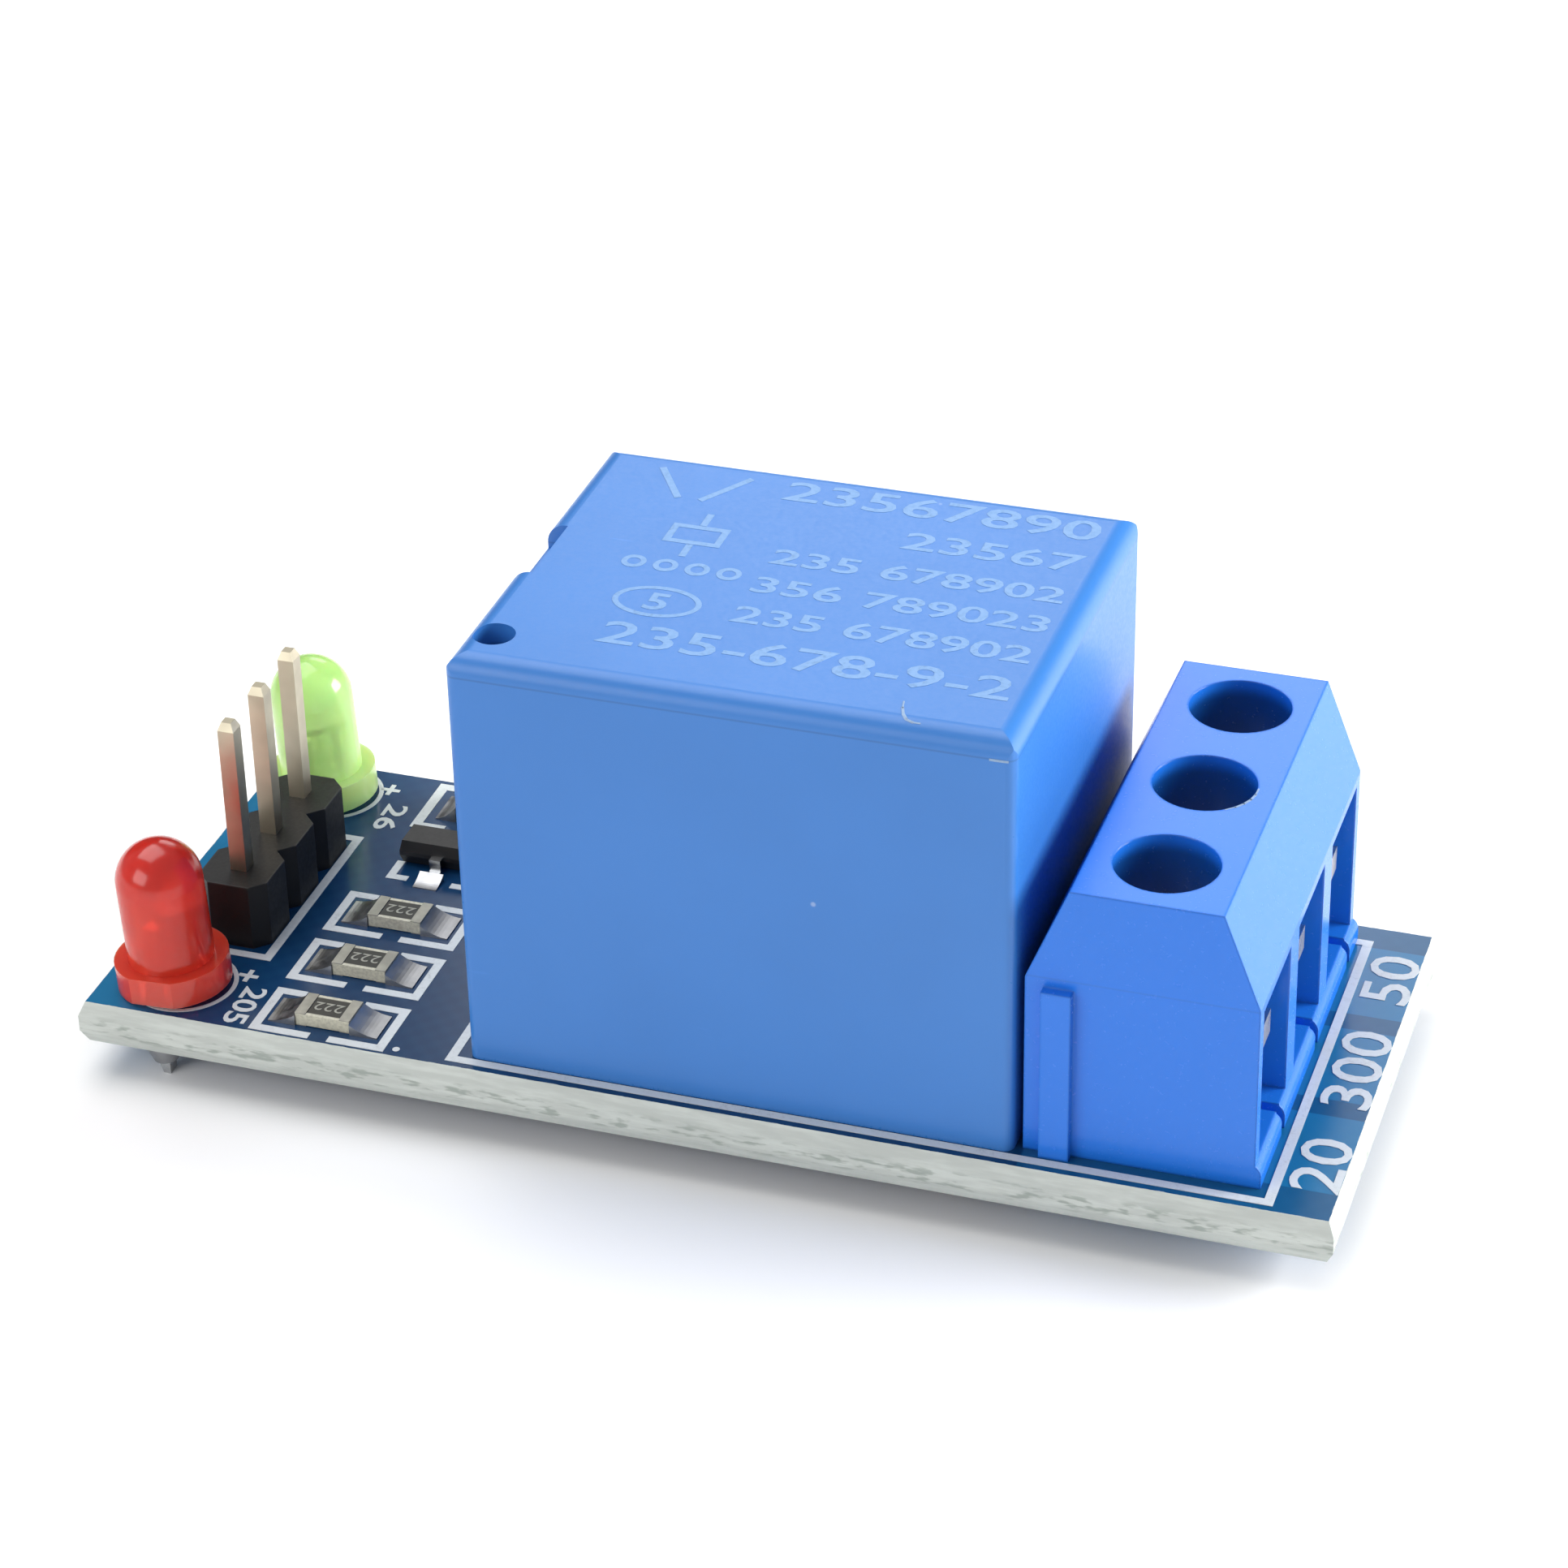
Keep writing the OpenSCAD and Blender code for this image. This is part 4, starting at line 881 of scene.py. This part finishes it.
class RELAYBOARD_OT_relay_print(bpy.types.Operator):
    """Print rows of plain digits and a generic circuit diagram on the relay's top"""
    bl_idname = "relayboard.relay_print"
    bl_label = "Relay print"

    def execute(self, context):
        z = RELAY_HIGH.z
        ink = sizes().ink*0.5
        made = []
        # each row: text, its length and height, and how far its middle is from the near side
        rows = (("23567890", 10.95, 1.38, 13.85), ("23567", 6.1, 1.20, 11.55),
                ("235 678902", 9.95, 1.05, 9.30), ("356 789023", 9.95, 1.08, 7.32),
                ("235 678902", 9.95, 1.10, 5.28), ("235-678-9-2", 13.65, 1.45, 3.03))
        right = RELAY_HIGH.x - 0.95*MM
        for text, span, high, up in rows:
            made.append(words(text, span*MM, high*MM,
                              (right - span*MM/2, RELAY_LOW.y + up*MM, z), 0, ink))

        def spot(x, y):
            return (RELAY_LOW.x + x*MM, RELAY_LOW.y + y*MM, z)

        piece = start_flat("relay_diagram")
        line = 0.24*MM
        # change-over contact, coil, row of pins and a numbered oval, one below the other
        for x, y, tall, lean in ((3.0, 13.30, 2.3, -32), (5.0, 13.30, 2.3, 32),
                                 (5.10, 11.05, 0.85, 0), (5.10, 8.85, 0.85, 0)):
            slab(spot(x, y), (line, tall*MM, 1), math.radians(lean))
        outline(*spot(4.1, 9.3)[:2], *spot(6.1, 10.6)[:2], z, line)
        ovals = [(x, 7.70, 0.42, 1.0) for x in (3.7, 4.8, 5.9, 7.0)] + [(5.35, 5.30, 1.0, 1.5)]
        for x, y, radius, wide in ovals:
            ring(spot(x, y), radius*MM, line*0.8, vertices=40, wide=wide)
        raise_flat(ink)
        made.append(piece)
        made.append(words("5", 0.75*MM, 1.1*MM, spot(5.35, 5.30), 0, ink, heavier=0.03*MM))
        print_ink = ink_finish("Relay print ink", colours().relay_ink[:], rough=0.42)
        finish_piece(join(made, "relay_print"), print_ink, "board")
        return {"FINISHED"}


class RELAYBOARD_OT_chip_codes(bpy.types.Operator):
    """Print a plain number on each resistor"""
    bl_idname = "relayboard.chip_codes"
    bl_label = "Resistor codes"

    def execute(self, context):
        s = sizes()
        made = []
        for node in RESISTORS:
            middle, top = box_middle(node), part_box(node)[1].z
            made.append(words("222", 1.05*MM, s.code_high, (middle.x, middle.y, top),
                              math.radians(180), s.ink*0.5, heavier=0.0))
        finish_piece(join(made, "chip_codes"), ink_finish("Code ink", (0.34, 0.34, 0.29)),
                     "board")
        return {"FINISHED"}


class RELAYBOARD_OT_lamp_chips(bpy.types.Operator):
    """Set a chip and its bond wire on each lamp's anvil"""
    bl_idname = "relayboard.lamp_chips"
    bl_label = "Lamp chips"

    def execute(self, context):
        chips, wires = [], []
        side, tall, thin, loop = 0.28*MM, 0.12*MM, 0.02*MM, math.radians(190)
        for lamp in ("red", "green"):
            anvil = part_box(lamp + "_cathode")
            middle = box_middle(lamp + "_lens").y
            # the leads lean, so their tops stand over the low side of their boxes
            x, y = anvil[0].x + 0.25*MM, middle - 0.20*MM
            top = anvil[1].z - 0.01*MM
            post = middle + 0.62*MM
            clear_selection()
            bpy.ops.mesh.primitive_cube_add(size=1, location=(x, y, top + tall/2))
            bpy.ops.transform.resize(value=(side, side, tall))
            edit()
            bpy.ops.mesh.select_all(action="SELECT")
            bpy.ops.mesh.bevel(offset=0.015*MM, segments=2, affect="EDGES")
            bpy.ops.object.mode_set(mode="OBJECT")
            chips.append(context.object)
            # the wire: a small circle spun in a half turn from the chip to the post
            clear_selection()
            bpy.ops.mesh.primitive_circle_add(vertices=8, radius=thin, fill_type="NGON",
                                              location=(x, y, top + 0.10*MM))
            edit()
            bpy.ops.mesh.select_all(action="SELECT")
            bpy.ops.mesh.spin(steps=14, angle=-loop, axis=(1, 0, 0),
                              center=(x, (y + post)/2, top + 0.04*MM))
            face_outwards()
            wires.append(context.object)
        chip = moulded_plastic("Lamp chip", (0.30, 0.30, 0.16), ["red_cathode"], rough=0.3)
        finish_piece(join(chips, "lamp_chips"), chip, "board")
        finish_piece(join(wires, "bond_wires"), bare_metal("Bond wire", (0.85, 0.62, 0.25)),
                     "board")
        return {"FINISHED"}


class RELAYBOARD_OT_scuffs(bpy.types.Operator):
    """Raise the small pale burrs that handling has left on the mouldings"""
    bl_idname = "relayboard.scuffs"
    bl_label = "Scuffs"

    def draw_path(self, path):
        """Short overlapping strips along a path, thin at both ends."""
        for a, b, wide in zip(path, path[1:], (0.05, 0.09, 0.11, 0.10, 0.06)):
            slab((a + b)/2, ((b - a).length*1.15, wide*MM, 1), -math.atan2(b.y - a.y, b.x - a.x))

    def lay_on(self, piece, node, material):
        """Presses the flat strips onto a node's surface and gives them their thickness."""
        bpy.ops.mesh.select_all(action="SELECT")
        bpy.ops.mesh.subdivide(number_cuts=2)
        bpy.ops.object.mode_set(mode="OBJECT")
        wrap = piece.modifiers.new("lie on the moulding", "SHRINKWRAP")
        wrap.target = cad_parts[node]
        thicken = piece.modifiers.new("burr", "SOLIDIFY")
        thicken.thickness = 0.010*MM
        thicken.offset = 1.0
        for modifier in (wrap, thicken):
            bpy.ops.object.modifier_apply(modifier=modifier.name)
        finish_piece(piece, material, "board")

    def execute(self, context):
        pale = ink_finish("Whitened plastic", (0.26, 0.38, 0.56), rough=0.55)
        corner = Vector((RELAY_LOW.x, RELAY_LOW.y, RELAY_HIGH.z))
        nick = [(14.86, 1.42), (14.93, 1.05), (15.06, 0.68), (15.22, 0.45), (15.45, 0.36),
                (15.68, 0.36)]
        piece = start_flat("relay_nick")
        self.draw_path([corner + Vector((x*MM, y*MM, 0)) for x, y in nick])
        # a chip out of the case's seam at the corner over the terminals
        slab((RELAY_HIGH.x - 0.55*MM, RELAY_LOW.y, RELAY_HIGH.z - 0.74*MM),
             (0.62*MM, 1, 0.08*MM), rotation=(math.pi/2, 0, 0))
        self.lay_on(piece, "relay_case", pale)
        # the middle driver hole's rim, where a blade has slipped
        middle, rim = box_middle("screw_2"), 1.76*MM
        turns = (-0.95, -0.75, -0.55, -0.35, -0.15, 0.05)
        piece = start_flat("rim_scuff")
        self.draw_path([Vector((middle.x + rim*math.cos(turn), middle.y + rim*math.sin(turn),
                                BLOCK_HIGH.z)) for turn in turns])
        self.lay_on(piece, "terminal_housing", pale)
        return {"FINISHED"}


class RELAYBOARD_OT_stage(bpy.types.Operator):
    """Set the pale floor, the soft studio lights and the camera"""
    bl_idname = "relayboard.stage"
    bl_label = "Stage"

    def softbox(self, name, place, size, watts):
        target = (0, 0, 0.008)
        bpy.ops.object.light_add(type="AREA", location=place)
        light = bpy.context.object
        light.name = name
        light.data.shape = "RECTANGLE"
        light.data.size, light.data.size_y = size
        light.data.energy = watts
        light.rotation_euler = (Vector(target) - Vector(place)).to_track_quat("-Z", "Y").to_euler()

    def execute(self, context):
        stage = context.scene.relay_board_stage
        clear_selection()
        bpy.ops.mesh.primitive_plane_add(size=1.6, location=(0, 0.2, CAD_BOX[0].z))
        floor = context.object
        floor.name = "floor"
        material, g, shader = start_material("Pale floor")
        cloudy = g.noise(g.where(), 9.0, 2.0)
        g.feed(shader["Base Color"], g.mix(cloudy, (0.93, 0.93, 0.93), (0.96, 0.96, 0.96)))
        shader["Roughness"].default_value = 0.9
        floor.data.materials.append(material)

        world = bpy.data.worlds.new("Room")
        context.scene.world = world
        world.use_nodes = True
        background = world.node_tree.nodes["Background"].inputs
        background["Color"].default_value = (1, 1, 1, 1)
        # darker low down behind the board, as a room is past the edge of its lights
        sky = Graph(world.node_tree)
        y, z = sky.split(sky.node("ShaderNodeTexCoord").outputs["Generated"])[1:]
        low_behind = sky.product(sky.range(y, 0.15, 0.60), sky.range(z, 0.50, 0.80, 1.0, 0.0))
        sky.feed(background["Strength"],
                 sky.product(sky.range(low_behind, 0.0, 1.0, 1.0, 0.22), stage.sky))
        self.softbox("key", (-0.10, 0.05, 0.26), (0.22, 0.22), stage.key)
        self.softbox("fill", (-0.16, -0.24, 0.14), (0.20, 0.16), stage.fill)
        self.softbox("side", (0.24, 0.10, 0.10), (0.16, 0.12), stage.side)
        self.softbox("back", (-0.060, 0.250, 0.150), (0.112, 0.080), stage.back)
        self.softbox("rim", (0.200, 0.260, 0.050), (0.10, 0.08), stage.rim)

        bpy.ops.object.camera_add(location=stage.camera_place, rotation=stage.camera_turn)
        camera = context.object
        camera.data.lens = stage.camera_lens
        camera.data.sensor_width = 36.0
        camera.data.clip_start, camera.data.clip_end = 0.005, 5.0
        context.scene.camera = camera
        context.scene.view_settings.view_transform = "Standard"
        return {"FINISHED"}


class RELAYBOARD_PT_panel(bpy.types.Panel):
    """The board's settings and its pieces, in the 3D view's sidebar"""
    bl_label = "Relay module board"
    bl_idname = "RELAYBOARD_PT_panel"
    bl_space_type = "VIEW_3D"
    bl_region_type = "UI"
    bl_category = "Relay Board"

    def draw(self, context):
        scene = context.scene
        for settings in SETTINGS:
            box = self.layout.box()
            group = getattr(scene, settings)
            for name in group.bl_rna.properties.keys():
                if name not in ("name", "rna_type"):
                    box.prop(group, name)
        for operator in OPERATORS:
            self.layout.operator(operator.bl_idname)


OPERATORS = (RELAYBOARD_OT_finishes, RELAYBOARD_OT_outlines, RELAYBOARD_OT_lamp_rings,
             RELAYBOARD_OT_board_numbers, RELAYBOARD_OT_relay_print, RELAYBOARD_OT_chip_codes,
             RELAYBOARD_OT_lamp_chips, RELAYBOARD_OT_scuffs, RELAYBOARD_OT_stage)
SETTINGS = {"relay_board_sizes": RelayBoardSizes, "relay_board_colours": RelayBoardColours,
            "relay_board_stage": RelayBoardStage}
CLASSES = (*SETTINGS.values(), *OPERATORS, RELAYBOARD_PT_panel)


def register():
    for made in CLASSES:
        bpy.utils.register_class(made)
    for name, group in SETTINGS.items():
        setattr(bpy.types.Scene, name, bpy.props.PointerProperty(type=group))


def unregister():
    for name in SETTINGS:
        delattr(bpy.types.Scene, name)
    for made in reversed(CLASSES):
        bpy.utils.unregister_class(made)


def main():
    register()
    bpy.ops.relayboard.finishes()
    bpy.ops.relayboard.outlines()
    bpy.ops.relayboard.lamp_rings()
    bpy.ops.relayboard.board_numbers()
    bpy.ops.relayboard.relay_print()
    bpy.ops.relayboard.chip_codes()
    bpy.ops.relayboard.lamp_chips()
    bpy.ops.relayboard.scuffs()
    bpy.ops.relayboard.stage()


if __name__ == "__main__":
    main()
